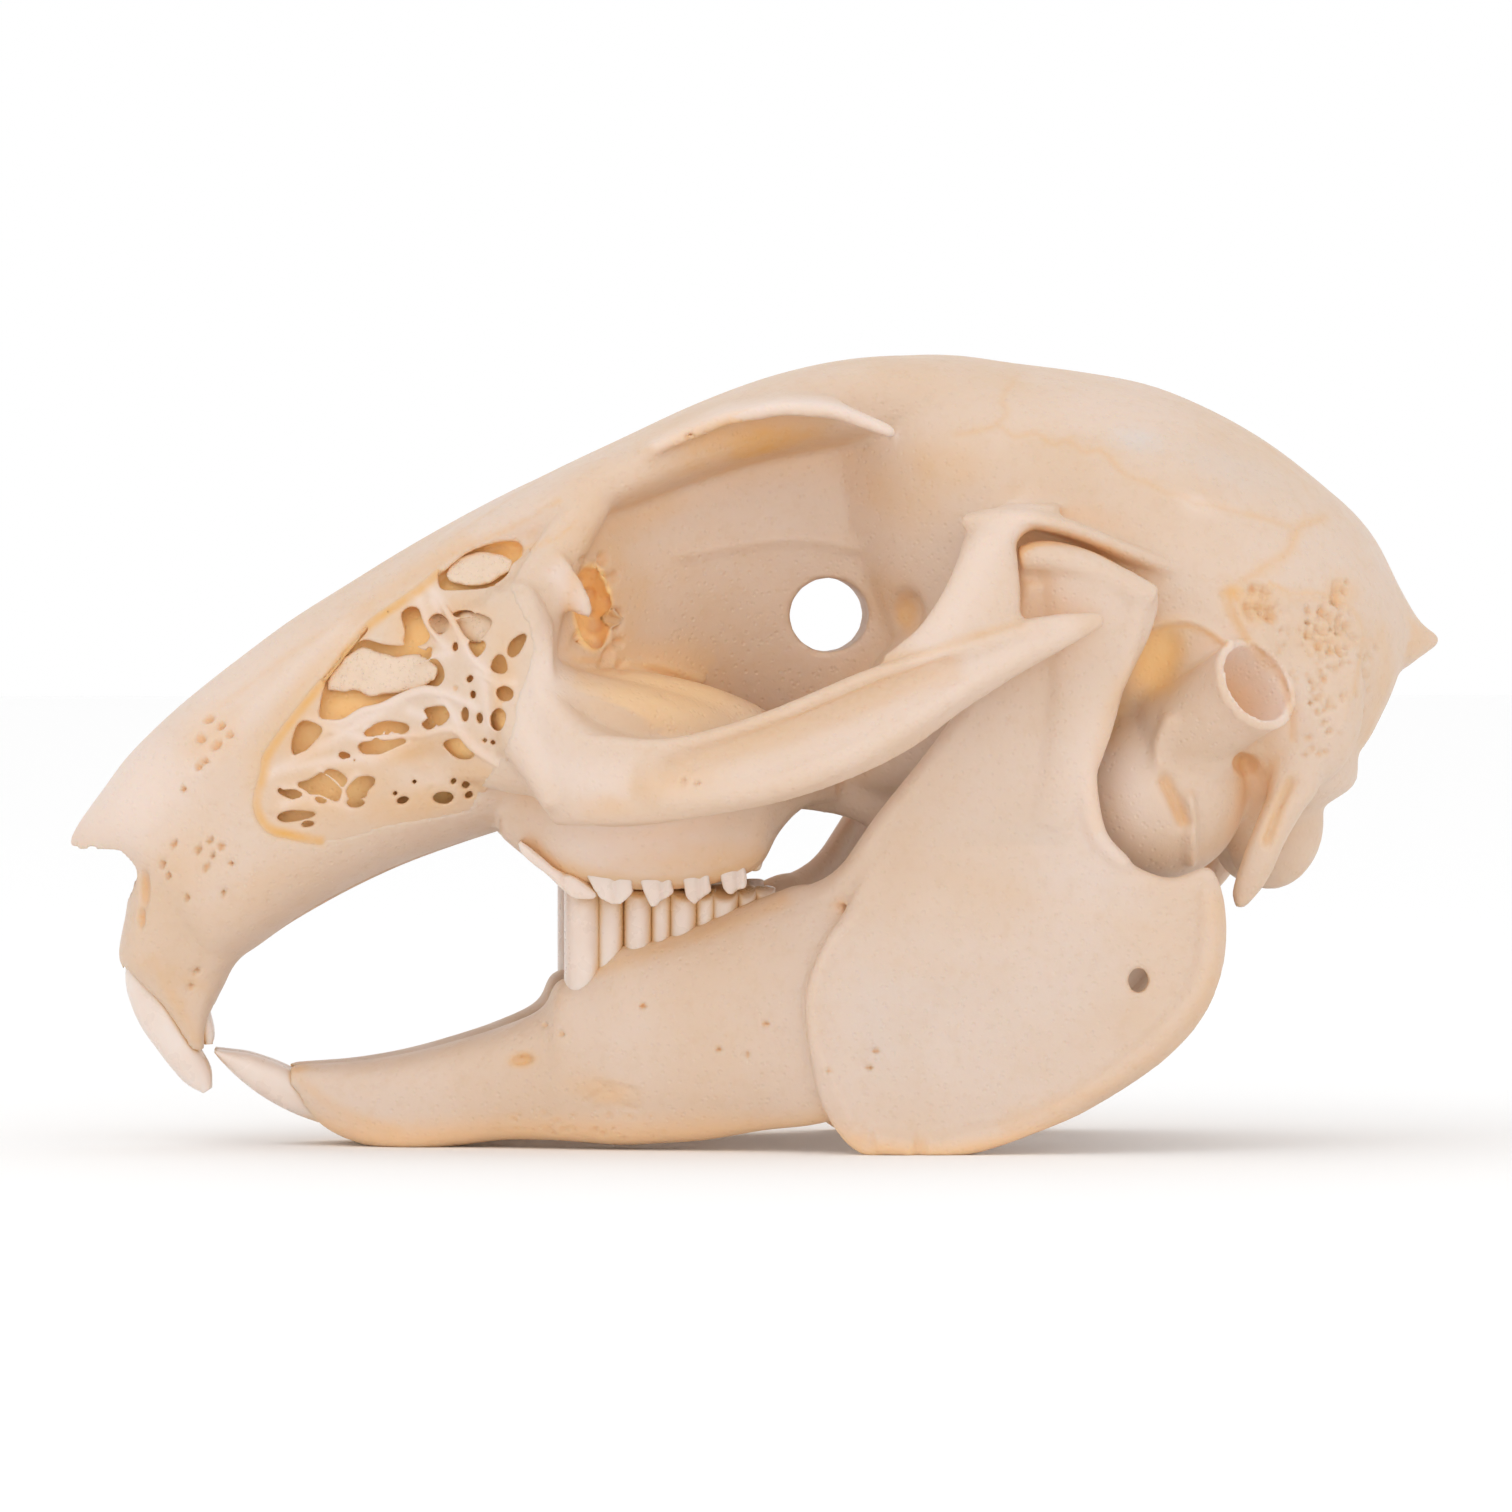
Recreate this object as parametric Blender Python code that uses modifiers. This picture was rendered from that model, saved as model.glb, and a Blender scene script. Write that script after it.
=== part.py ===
"""Cottontail rabbit skull: the cranium, the two halves of the lower jaw and their 28 teeth, at rest.

The skull stands on its lower jaw. +X runs from the nose to the back of the head, +Z is up, and -Y is
the animal's left side. Points in the tables below are in millimetres at the skull's full size, and the
three driving dimensions stretch them.
"""

import math

import bmesh
import bpy
import numpy as np
from mathutils import Matrix, Vector

# Driving dimensions, in metres
SKULL_LENGTH = 0.0717
ZYGOMATIC_BREADTH = 0.0356
SKULL_HEIGHT = 0.04145

# The same sizes as drawn in the tables, in millimetres
DRAWN = np.array((71.7, 35.6, 41.45))
SCALE = np.array((SKULL_LENGTH, ZYGOMATIC_BREADTH, SKULL_HEIGHT)) / DRAWN

# Working sizes, in metres
BONE_VOXEL = 0.00042
PLATE_VOXEL = 0.0005
TOOTH_GAP = 0.00035
SWELL = 0.1  # millimetres added all round, which the smoothing takes off again
CRANIUM_FACES = 3400
MANDIBLE_FACES = 800

# Finishes, each a colour and a roughness
BONE = ((0.80, 0.68, 0.57), 0.55)
TOOTH = ((0.84, 0.76, 0.70), 0.3)

LEFT, RIGHT = -1, 1
SIDES = {"left": LEFT, "right": RIGHT}


def clear_scene():
    for obj in list(bpy.data.objects):
        bpy.data.objects.remove(obj, do_unlink=True)


def new_collection(name):
    collection = bpy.data.collections.new(name)
    bpy.context.scene.collection.children.link(collection)
    return collection


def new_material(name, finish):
    colour, roughness = finish
    material = bpy.data.materials.new(name)
    material.use_nodes = True
    shader = material.node_tree.nodes["Principled BSDF"]
    shader.inputs["Base Color"].default_value = (*colour, 1)
    shader.inputs["Roughness"].default_value = roughness
    return material


# Shapes. Each function gives a mesh as (points in millimetres, faces).


def spline(rows, steps, closed=False):
    """Rows resampled along a Catmull-Rom curve that passes through each of them."""
    rows = np.array(rows, float)
    count = len(rows)
    last = count if closed else count - 1
    found = []
    for i in range(last):
        if closed:
            before, here, there, after = (rows[(i + k) % count] for k in (-1, 0, 1, 2))
        else:
            here, there = rows[i], rows[i + 1]
            before = rows[i - 1] if i > 0 else 2 * here - there
            after = rows[i + 2] if i + 2 < count else 2 * there - here
        for step in range(steps):
            t = step / steps
            found.append(
                here
                + 0.5 * t * (there - before)
                + t**2 * (before - 2.5 * here + 2 * there - 0.5 * after)
                + t**3 * (1.5 * (here - there) + 0.5 * (after - before))
            )
    if not closed:
        found.append(rows[-1])
    return np.array(found)


def unit_ring(squareness, sides):
    """A superellipse of half-sizes 1: squareness 2 is an ellipse, and more is squarer."""
    angles = np.arange(sides) * math.tau / sides
    wide, high = np.cos(angles), np.sin(angles)
    power = 2 / squareness
    return np.sign(wide) * abs(wide) ** power, np.sign(high) * abs(high) ** power


def skin(rings):
    """A closed surface through rings of points, with its two ends capped."""
    rings = np.array(rings)
    count, sides = rings.shape[:2]
    faces = []
    for i in range(count - 1):
        for j in range(sides):
            k = (j + 1) % sides
            faces.append((i * sides + j, i * sides + k, (i + 1) * sides + k, (i + 1) * sides + j))
    faces.append(tuple(range(sides))[::-1])
    faces.append(tuple((count - 1) * sides + j for j in range(sides)))
    return rings.reshape(-1, 3), faces


def loft_x(stations, y=0.0, squareness=2.3, sides=24, steps=3):
    """Upright sections across X. A station is (x, low z, high z, half width, flare, y shift)."""
    stations = [tuple(s) + (0.0,) * (6 - len(s)) for s in stations]
    wide, high = unit_ring(squareness, sides)
    rings = []
    for x, low, top, half, flare, shift in spline(stations, steps):
        across = (half + SWELL) * wide * (1 + flare * high)
        up = (top + low) / 2 + ((top - low) / 2 + SWELL) * high
        rings.append(np.stack([np.full(sides, x), y + shift + across, up], axis=1))
    return skin(rings)


def loft_z(stations, y=0.0, squareness=2.3, sides=24, steps=3):
    """Level sections stacked along Z. A station is (z, front x, back x, half width, y shift)."""
    stations = [tuple(s) + (0.0,) * (5 - len(s)) for s in stations]
    wide, long = unit_ring(squareness, sides)
    rings = []
    for z, front, back, half, shift in spline(stations, steps):
        along = (front + back) / 2 + ((back - front) / 2 + SWELL) * long
        rings.append(np.stack([along, y + shift + (half + SWELL) * wide, np.full(sides, z)], axis=1))
    return skin(rings)


def sweep(path, up=(0, 0, 1), squareness=2.2, sides=16, steps=3):
    """A bar along a path. A point is (x, y, z, half thickness, half height), its height towards up."""
    rows = spline(path, steps)
    centres = rows[:, :3]
    ways = np.gradient(centres, axis=0)
    wide, high = unit_ring(squareness, sides)
    rings = []
    for centre, way, (half, tall) in zip(centres, ways, rows[:, 3:5]):
        way = Vector(way).normalized()
        side = way.cross(Vector(up)).normalized()
        top = side.cross(way)
        across, rise = np.outer(wide * half, side), np.outer(high * tall, top)
        rings.append(centre + across + rise)
    return skin(rings)


def blob(centre, radii, lean=0.0, turn=0.0):
    """An ellipsoid, leaned in side view by lean degrees and turned about Z by turn degrees."""
    ball = bmesh.new()
    place = Matrix.Translation(centre) @ Matrix.Rotation(math.radians(turn), 4, "Z")
    place = place @ Matrix.Rotation(math.radians(lean), 4, "Y") @ Matrix.Diagonal((*radii, 1))
    bmesh.ops.create_uvsphere(ball, u_segments=20, v_segments=12, radius=1, matrix=place)
    shape = mesh_arrays(ball)
    ball.free()
    return shape


def mesh_arrays(source):
    source.verts.index_update()
    points = np.array([v.co[:] for v in source.verts])
    return points, [tuple(v.index for v in face.verts) for face in source.faces]


def plate(outline, half_thickness, bend, smooth=3):
    """A flat outline in X and Z as a filled, extruded 2D curve, remeshed and bent: y = bend(x, z)."""
    curve = bpy.data.curves.new("outline", "CURVE")
    curve.dimensions = "2D"
    curve.fill_mode = "BOTH"
    curve.extrude = half_thickness
    points = spline(outline, smooth, closed=True)
    line = curve.splines.new("POLY")
    line.points.add(len(points) - 1)
    line.use_cyclic_u = True
    for point, (x, z) in zip(line.points, points):
        point.co = (x, z, 0, 1)
    flat = bpy.data.objects.new("flat", curve)
    bpy.context.scene.collection.objects.link(flat)
    graph = bpy.context.evaluated_depsgraph_get()
    mesh = bpy.data.meshes.new_from_object(flat.evaluated_get(graph))
    bpy.data.objects.remove(flat)
    solid = bpy.data.objects.new("plate", mesh)
    bpy.context.scene.collection.objects.link(solid)
    remesh = solid.modifiers.new("Remesh", "REMESH")
    remesh.mode = "VOXEL"
    remesh.voxel_size = PLATE_VOXEL * 1000
    graph = bpy.context.evaluated_depsgraph_get()
    fine = bmesh.new()
    fine.from_mesh(bpy.data.meshes.new_from_object(solid.evaluated_get(graph)))
    bpy.data.objects.remove(solid)
    points, faces = mesh_arrays(fine)
    fine.free()
    x, z, y = points.T
    return np.stack([x, y + bend(x, z), z], axis=1), [face[::-1] for face in faces]


def mirrored(shape):
    points, faces = shape
    return points * (1, -1, 1), [face[::-1] for face in faces]


def join(name, shapes, collection, finish):
    """One object of all the shapes, in metres, with a material of its own."""
    points, faces, start = [], [], 0
    for shape_points, shape_faces in shapes:
        points.append(shape_points)
        faces += [tuple(index + start for index in face) for face in shape_faces]
        start += len(shape_points)
    mesh = bpy.data.meshes.new(name)
    mesh.from_pydata((np.concatenate(points) * SCALE).tolist(), [], faces)
    mesh.materials.append(new_material(f"{name}_material", finish))
    clean = bmesh.new()
    clean.from_mesh(mesh)
    bmesh.ops.recalc_face_normals(clean, faces=clean.faces)
    clean.to_mesh(mesh)
    clean.free()
    mesh.shade_smooth()
    obj = bpy.data.objects.new(name, mesh)
    collection.objects.link(obj)
    return obj


def grow_together(obj, faces, rounds=4):
    """Overlapping shapes fused into one bone, smoothed and thinned out to about this many faces."""
    remesh = obj.modifiers.new("Fuse", "REMESH")
    remesh.mode = "VOXEL"
    remesh.voxel_size = BONE_VOXEL
    smooth = obj.modifiers.new("Smooth", "SMOOTH")
    smooth.factor = 0.5
    smooth.iterations = rounds
    graph = bpy.context.evaluated_depsgraph_get()
    dense = sum(len(p.vertices) - 2 for p in obj.evaluated_get(graph).to_mesh().polygons)
    thin = obj.modifiers.new("Thin", "DECIMATE")
    thin.ratio = min(1.0, faces / dense)


def cut(obj, cutter, solver="EXACT"):
    cutter.hide_render = True
    cutter.display_type = "WIRE"
    difference = obj.modifiers.new(cutter.name, "BOOLEAN")
    difference.operation = "DIFFERENCE"
    difference.object = cutter
    difference.solver = solver


# Cranium: midline shapes


def snout():
    return loft_x(
        [
            (-36.05, 14.4, 15.9, 0.9, 0.0),
            (-35.5, 14.8, 16.9, 1.9, 0.0),
            (-34.2, 15.0, 18.7, 3.3, -0.05),
            (-33.0, 14.6, 20.3, 4.2, -0.08),
            (-31.0, 11.8, 22.3, 5.0, -0.08),
            (-29.0, 9.4, 24.0, 5.6, -0.08),
            (-27.0, 10.0, 25.55, 6.1, -0.09),
            (-24.5, 11.7, 27.4, 6.6, -0.10),
            (-21.5, 13.4, 29.3, 7.1, -0.12),
            (-18.5, 14.8, 31.15, 7.7, -0.14),
            (-15.5, 15.9, 32.85, 8.4, -0.14),
            (-12.5, 16.9, 34.4, 8.9, -0.14),
            (-10.0, 18.0, 35.5, 8.0, -0.10),
            (-7.0, 20.0, 36.8, 5.6, 0.0),
            (-3.0, 21.0, 37.5, 3.4, 0.0),
        ],
        squareness=2.6,
    )


def premaxilla():
    return loft_z(
        [
            (4.9, -29.7, -29.1, 2.5),
            (6.2, -30.5, -28.95, 2.8),
            (7.3, -31.3, -28.6, 3.05),
            (8.4, -32.5, -28.05, 3.2),
            (9.6, -33.35, -27.4, 3.6),
            (10.8, -33.3, -26.0, 3.9),
            (12.3, -33.0, -24.0, 4.3),
            (13.8, -32.9, -22.0, 4.7),
            (15.4, -32.9, -21.0, 5.0),
            (17.0, -31.0, -21.0, 5.2),
        ],
        squareness=3.6,
    )


def forehead():
    return loft_x(
        [
            (-20.0, 27.0, 30.0, 4.0),
            (-15.0, 29.5, 33.0, 6.0),
            (-11.0, 31.4, 35.1, 7.3),
            (-7.0, 33.2, 37.0, 7.6),
            (-3.0, 34.8, 38.85, 7.2),
            (1.0, 36.0, 40.3, 6.7),
            (5.0, 36.6, 41.15, 6.4),
            (9.0, 36.6, 41.3, 6.0),
            (13.0, 36.0, 40.7, 5.2),
            (17.0, 35.0, 39.6, 4.2),
            (20.0, 34.0, 38.2, 3.2),
        ],
        squareness=2.8,
    )


def orbit_wall():
    return loft_x(
        [
            (-10.5, 21.0, 35.0, 6.4, 0.05),
            (-8.0, 20.4, 36.0, 5.6, 0.15),
            (-5.0, 19.4, 37.4, 4.5, 0.30),
            (-2.0, 18.8, 38.6, 3.6, 0.50),
            (1.0, 18.5, 39.6, 3.1, 0.60),
            (4.0, 18.3, 40.3, 3.1, 0.60),
            (6.5, 18.2, 40.6, 3.8, 0.45),
            (9.0, 18.2, 40.8, 5.4, 0.30),
            (12.0, 18.2, 40.5, 7.4, 0.15),
        ],
        squareness=2.2,
    )


def braincase():
    return loft_x(
        [
            (5.0, 29.0, 40.4, 4.4, 0.10),
            (7.5, 24.5, 41.3, 6.8, 0.06),
            (10.5, 21.0, 41.35, 8.9, 0.06),
            (13.5, 19.4, 40.95, 10.2, 0.08),
            (17.0, 18.8, 40.5, 10.9, 0.08),
            (20.5, 18.5, 39.85, 11.2, 0.06),
            (23.5, 18.4, 38.7, 11.3, 0.02),
            (26.5, 18.4, 37.05, 11.0, -0.02),
            (29.2, 18.8, 35.05, 10.0, -0.04),
            (31.5, 20.2, 32.95, 8.2, -0.06),
            (33.0, 22.8, 30.7, 6.0, -0.05),
            (33.9, 25.0, 29.0, 4.0, 0.0),
        ],
        squareness=2.25,
    )


def occipital_shield():
    return loft_x(
        [
            (28.0, 28.0, 35.6, 4.2),
            (30.5, 27.0, 33.95, 4.4),
            (32.4, 26.2, 31.9, 4.4),
            (33.8, 25.0, 29.2, 4.1),
            (34.9, 25.6, 27.6, 3.4),
            (35.9, 26.2, 26.75, 2.2),
        ],
        squareness=3.0,
    )


def skull_base():
    return loft_x(
        [
            (-6.5, 18.6, 22.0, 2.8),
            (-2.0, 18.4, 22.0, 2.3),
            (4.0, 18.0, 22.0, 2.4),
            (9.0, 17.6, 22.0, 3.4),
            (16.0, 17.2, 21.0, 3.8),
            (22.0, 16.6, 20.0, 3.8),
            (26.5, 16.0, 19.0, 4.8),
            (28.3, 16.2, 18.5, 4.4),
        ],
        squareness=2.6,
    )


def occiput():
    return loft_z(
        [
            (15.6, 24.0, 27.0, 5.6),
            (17.6, 23.5, 29.5, 7.4),
            (18.9, 23.5, 31.3, 8.4),
            (20.4, 23.5, 31.5, 8.9),
            (22.0, 23.5, 31.7, 9.2),
            (24.5, 23.5, 33.0, 8.6),
            (27.0, 23.5, 34.2, 6.4),
        ],
        squareness=2.7,
    )


def palate():
    return loft_x(
        [
            (-13.0, 16.9, 18.6, 5.4),
            (-9.0, 16.2, 18.2, 5.8),
            (-6.5, 16.0, 18.0, 5.6),
            (-4.3, 16.5, 18.0, 5.0),
        ],
        squareness=3.0,
    )


# Cranium: shapes of the left side, which the right side mirrors


def tooth_bearing_maxilla():
    return loft_x(
        [
            (-13.6, 16.4, 22.0, 1.4, 0.1, 1.0),
            (-12.4, 15.3, 24.0, 2.0, 0.1, 0.8),
            (-11.2, 14.3, 24.6, 2.5, 0.1, 0.5),
            (-9.5, 14.1, 24.9, 2.9, 0.1, 0.1),
            (-7.0, 13.85, 24.9, 3.0, 0.1, 0.0),
            (-4.5, 13.8, 24.5, 3.0, 0.1, 0.0),
            (-2.3, 14.2, 23.9, 2.8, 0.05, 0.0),
            (-0.2, 14.8, 23.0, 2.4, 0.0, 0.1),
            (0.9, 16.6, 22.2, 1.9, 0.0, 0.6),
            (2.3, 17.9, 21.6, 1.4, 0.0, 1.6),
            (4.0, 18.2, 21.5, 1.2, 0.0, 2.6),
        ],
        y=-6.6,
        squareness=2.6,
    )


def cheek_root():
    """The shelf of the maxilla that carries the front of the arch out from the tooth row."""
    return loft_x(
        [
            (-12.6, 19.6, 24.5, 2.0, 0.0, 1.2),
            (-11.2, 17.8, 24.2, 3.2, 0.0, 0.5),
            (-9.0, 17.1, 22.4, 4.0, 0.0, 0.0),
            (-6.5, 17.1, 21.5, 4.2, 0.0, 0.0),
            (-4.0, 17.5, 21.3, 4.0, 0.0, 0.0),
            (-2.0, 18.3, 21.2, 2.6, 0.0, -1.2),
            (-0.8, 19.2, 21.0, 1.2, 0.0, -2.6),
        ],
        y=-11.0,
        squareness=2.8,
    )


def orbit_floor():
    """The slope from the rim of the arch up over the roots of the cheek teeth."""
    return loft_x(
        [
            (-12.0, 20.0, 26.0, 3.4, 0.0, -0.9),
            (-9.5, 19.0, 24.9, 3.8, 0.0, -0.4),
            (-6.5, 19.0, 24.2, 3.8, 0.0, 0.0),
            (-3.5, 19.0, 23.5, 3.2, 0.0, 0.6),
            (-0.5, 19.0, 22.8, 2.2, 0.0, 1.8),
        ],
        y=-8.4,
    )


def cheek_slope():
    """The side of the maxilla, which swells outwards from the snout to the front rim of the orbit."""
    return loft_x(
        [
            (-18.0, 20.0, 25.5, 0.9, 0.0, 1.0),
            (-16.0, 19.4, 27.5, 1.6, 0.0, 0.2),
            (-14.0, 18.9, 29.0, 2.2, 0.0, -0.7),
            (-12.3, 18.6, 29.5, 2.4, 0.0, -1.5),
            (-11.0, 18.6, 27.5, 2.2, 0.0, -1.9),
        ],
        y=-8.2,
    )


def orbit_front_rim():
    return sweep(
        [
            (-7.4, -6.6, 35.8, 1.0, 1.2),
            (-8.7, -7.7, 33.4, 1.1, 1.3),
            (-10.6, -8.4, 30.6, 1.3, 1.5),
            (-12.0, -9.2, 27.6, 1.6, 1.6),
            (-12.6, -10.2, 24.8, 1.8, 1.6),
            (-12.3, -11.4, 22.0, 1.7, 1.5),
            (-11.5, -12.6, 19.8, 1.1, 1.2),
            (-10.9, -13.4, 17.9, 0.6, 0.8),
        ],
        up=(0, -1, 0),
    )


def lacrimal_spine():
    return sweep(
        [
            (-11.4, -8.8, 29.8, 0.9, 0.6),
            (-10.4, -9.8, 29.6, 1.0, 0.6),
            (-9.8, -10.2, 28.8, 0.8, 0.55),
            (-9.4, -10.3, 27.8, 0.45, 0.4),
        ],
        up=(0, -1, 0),
    )


def arch():
    """The cheek bone from the maxilla back to its free end below the jaw joint."""
    return sweep(
        [
            (-10.9, -12.6, 19.3, 0.7, 2.3),
            (-9.4, -14.0, 19.2, 0.95, 2.15),
            (-6.5, -15.3, 19.25, 0.95, 2.1),
            (-3.0, -16.1, 19.85, 0.9, 2.2),
            (0.0, -16.4, 20.6, 0.85, 2.35),
            (3.0, -16.5, 21.7, 0.8, 2.45),
            (6.0, -16.5, 23.05, 0.8, 2.35),
            (9.0, -16.3, 24.6, 0.75, 1.85),
            (12.0, -16.1, 26.0, 0.75, 1.4),
            (14.5, -15.8, 26.95, 0.7, 1.0),
            (17.1, -15.5, 27.7, 0.45, 0.4),
        ],
        squareness=2.6,
    )


def arch_rims():
    """The two rounded bars along the outside of the arch, with a groove between them."""
    return [
        sweep(
            [
                (-9.8, -14.0, 21.2, 0.7, 0.7),
                (-5.0, -15.9, 21.0, 0.65, 0.65),
                (0.0, -17.0, 22.4, 0.65, 0.65),
                (5.0, -17.1, 24.5, 0.65, 0.65),
                (10.0, -16.7, 26.2, 0.6, 0.6),
                (14.0, -16.2, 27.4, 0.5, 0.5),
            ],
        ),
        sweep(
            [
                (-9.8, -14.0, 18.0, 0.7, 0.7),
                (-5.0, -15.9, 18.4, 0.75, 0.75),
                (0.0, -17.0, 19.2, 0.75, 0.75),
                (5.0, -17.1, 21.2, 0.7, 0.75),
                (10.0, -16.7, 24.3, 0.65, 0.65),
                (14.0, -16.2, 26.5, 0.5, 0.5),
            ],
        ),
    ]


def squamosal_process():
    """The plate that comes down from the side of the braincase to meet the arch."""
    return loft_z(
        [
            (25.6, 5.6, 11.4, 0.55, -1.1),
            (27.2, 7.6, 12.6, 0.7, -0.9),
            (29.0, 8.9, 12.8, 0.8, -0.6),
            (30.6, 9.7, 12.7, 1.0, 0.2),
            (31.8, 10.2, 12.8, 1.8, 1.4),
            (32.8, 11.0, 14.5, 2.6, 3.0),
            (33.6, 12.5, 15.5, 2.4, 4.6),
        ],
        y=-14.8,
        squareness=2.6,
    )


def squamosal_shelf():
    """The roof of the jaw joint, a ridge along the side of the braincase."""
    return sweep(
        [
            (10.8, -11.6, 32.6, 2.6, 0.6),
            (12.8, -12.4, 32.9, 2.6, 0.55),
            (15.2, -12.5, 32.5, 2.2, 0.55),
            (18.0, -12.2, 31.4, 1.5, 0.6),
            (21.0, -12.0, 30.4, 1.0, 0.7),
            (24.0, -11.6, 29.8, 0.6, 0.7),
        ],
    )


BROW_EDGE = [  # x, y, z along the free edge of the wing
    (-8.5, -6.0, 35.2), (-7.2, -7.0, 35.7), (-5.0, -8.3, 36.7), (-2.0, -9.3, 37.95), (1.0, -10.1, 38.5),
    (3.6, -10.6, 38.1), (5.6, -10.8, 37.1), (7.4, -10.4, 36.2),
]
BROW_INNER = [(6.6, -9.2), (5.0, -8.4), (4.2, -7.2), (4.0, -5.0), (-2.0, -4.5), (-6.0, -4.5)]


def brow_height(x, y):
    """The height of the wing, which rises inwards from its free edge."""
    edge_x, edge_y, edge_z = zip(*BROW_EDGE)
    return np.interp(x, edge_x, edge_z) + 0.16 * (y - np.interp(x, edge_x, edge_y))


def brow():
    """The supraorbital process: a thin wing over the eye, with a free point at its rear."""
    outline = [(x, y) for x, y, _ in BROW_EDGE] + BROW_INNER
    points, faces = plate(outline, 0.6, brow_height)
    return points[:, [0, 2, 1]], [face[::-1] for face in faces]


def bulla():
    return blob((20.7, -7.7, 18.7), (4.5, 3.5, 4.7), lean=8)


def ear_swelling():
    return blob((22.6, -8.6, 22.2), (3.4, 3.1, 4.2), lean=25)


def mastoid():
    return blob((27.0, -8.2, 24.6), (4.0, 3.2, 5.8), lean=-14, turn=-14)


def ear_tube():
    return sweep(
        [
            (21.6, -9.2, 21.4, 2.6, 2.6),
            (23.4, -10.8, 23.0, 2.6, 2.6),
            (25.2, -12.3, 24.4, 2.55, 2.55),
        ],
        up=(-0.6, 0, 0.8),
        squareness=2.0,
    )


def paroccipital_process():
    return loft_z(
        [
            (12.3, 24.1, 25.2, 0.5, 0.0),
            (13.4, 23.9, 26.4, 0.8, 0.0),
            (15.5, 24.1, 27.3, 1.1, 0.0),
            (18.0, 24.3, 28.6, 1.4, 0.2),
            (21.5, 24.6, 29.4, 1.8, 0.8),
        ],
        y=-9.7,
        squareness=2.6,
    )


def condyle_of_occiput():
    return blob((27.0, -4.4, 16.7), (2.6, 1.9, 3.3), lean=12, turn=12)


def pterygoid_plate():
    return loft_x(
        [
            (0.5, 17.9, 20.5, 0.8, 0.0, 0.0),
            (4.5, 17.3, 20.5, 0.8, 0.0, 0.0),
            (7.0, 16.0, 20.5, 0.65, 0.0, -0.2),
            (9.0, 15.6, 20.5, 0.6, 0.0, -0.3),
            (10.8, 17.4, 20.5, 0.6, 0.0, -0.3),
        ],
        y=-3.6,
        squareness=2.4,
        sides=12,
    )


def orbit_back():
    """The side wall of the sphenoid, from the septum out to the front of the braincase."""
    return loft_x(
        [
            (4.5, 18.6, 23.5, 1.2, 0.0, 2.0),
            (7.5, 18.6, 27.0, 2.4, 0.0, 0.8),
            (10.5, 18.6, 31.0, 3.8, 0.0, 0.0),
            (14.0, 18.6, 32.0, 4.4, 0.0, 0.0),
        ],
        y=-5.4,
    )


# Cranium: hollows, as cutters


def nose_hollow():
    return loft_x(
        [
            (-38.0, 12.6, 15.3, 2.2),
            (-35.4, 12.7, 15.7, 2.3),
            (-33.6, 12.9, 17.8, 3.1),
            (-31.5, 13.2, 20.8, 3.7),
            (-28.0, 13.2, 23.6, 4.6),
            (-24.0, 15.2, 26.6, 5.4),
            (-19.0, 17.2, 29.7, 6.3),
            (-14.5, 18.6, 31.8, 6.6),
            (-11.0, 20.4, 31.6, 5.0),
        ],
        squareness=3.2,
        sides=12,
        steps=1,
    )


def palate_slot():
    """One of the pair of long slots in the front of the palate."""
    return loft_z(
        [
            (9.0, -25.5, -12.0, 1.0, 0.0),
            (14.5, -25.5, -12.0, 1.0, 0.0),
            (19.0, -23.5, -12.0, 1.1, 0.0),
        ],
        y=-1.6,
        squareness=2.4,
        sides=8,
        steps=1,
    )


def brain_hollow():
    return loft_x(
        [
            (8.5, 29.0, 39.0, 3.6),
            (12.0, 22.5, 39.9, 8.0),
            (15.0, 19.0, 39.8, 9.8),
            (17.5, 18.2, 39.6, 10.6),
            (22.0, 17.9, 38.2, 10.6),
            (26.5, 18.0, 35.6, 9.4),
            (30.0, 19.2, 32.0, 6.2),
        ],
        squareness=2.25,
        sides=14,
        steps=1,
    )


def spinal_hole():
    """The foramen magnum, from the hollow out through the back of the skull."""
    return sweep(
        [
            (24.0, 0.0, 21.6, 3.7, 3.3),
            (28.5, 0.0, 21.1, 3.7, 3.4),
            (33.0, 0.0, 20.4, 3.9, 3.5),
        ],
        sides=14,
        steps=1,
    )


def eye_hole():
    """The optic foramen, open right through the wall between the orbits."""
    return sweep(
        [(3.7, -6.0, 27.8, 2.08, 1.97), (3.7, 6.0, 27.8, 2.08, 1.97)],
        squareness=2.0,
        sides=16,
        steps=1,
    )


def throat():
    """The passage behind the palate, between the tooth rows."""
    return loft_x(
        [
            (-9.0, 18.6, 21.5, 1.6),
            (-4.0, 17.6, 21.8, 2.2),
            (0.0, 15.0, 20.2, 2.4),
            (5.0, 14.0, 19.2, 2.5),
            (11.0, 13.0, 18.4, 2.4),
        ],
        squareness=2.6,
        sides=12,
        steps=1,
    )


def ear_hole():
    return sweep(
        [
            (22.4, -9.8, 22.0, 1.5, 1.5),
            (24.0, -11.2, 23.4, 1.8, 1.8),
            (26.2, -13.0, 25.1, 1.95, 1.95),
        ],
        up=(-0.6, 0, 0.8),
        squareness=2.0,
        sides=14,
        steps=1,
    )


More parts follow.
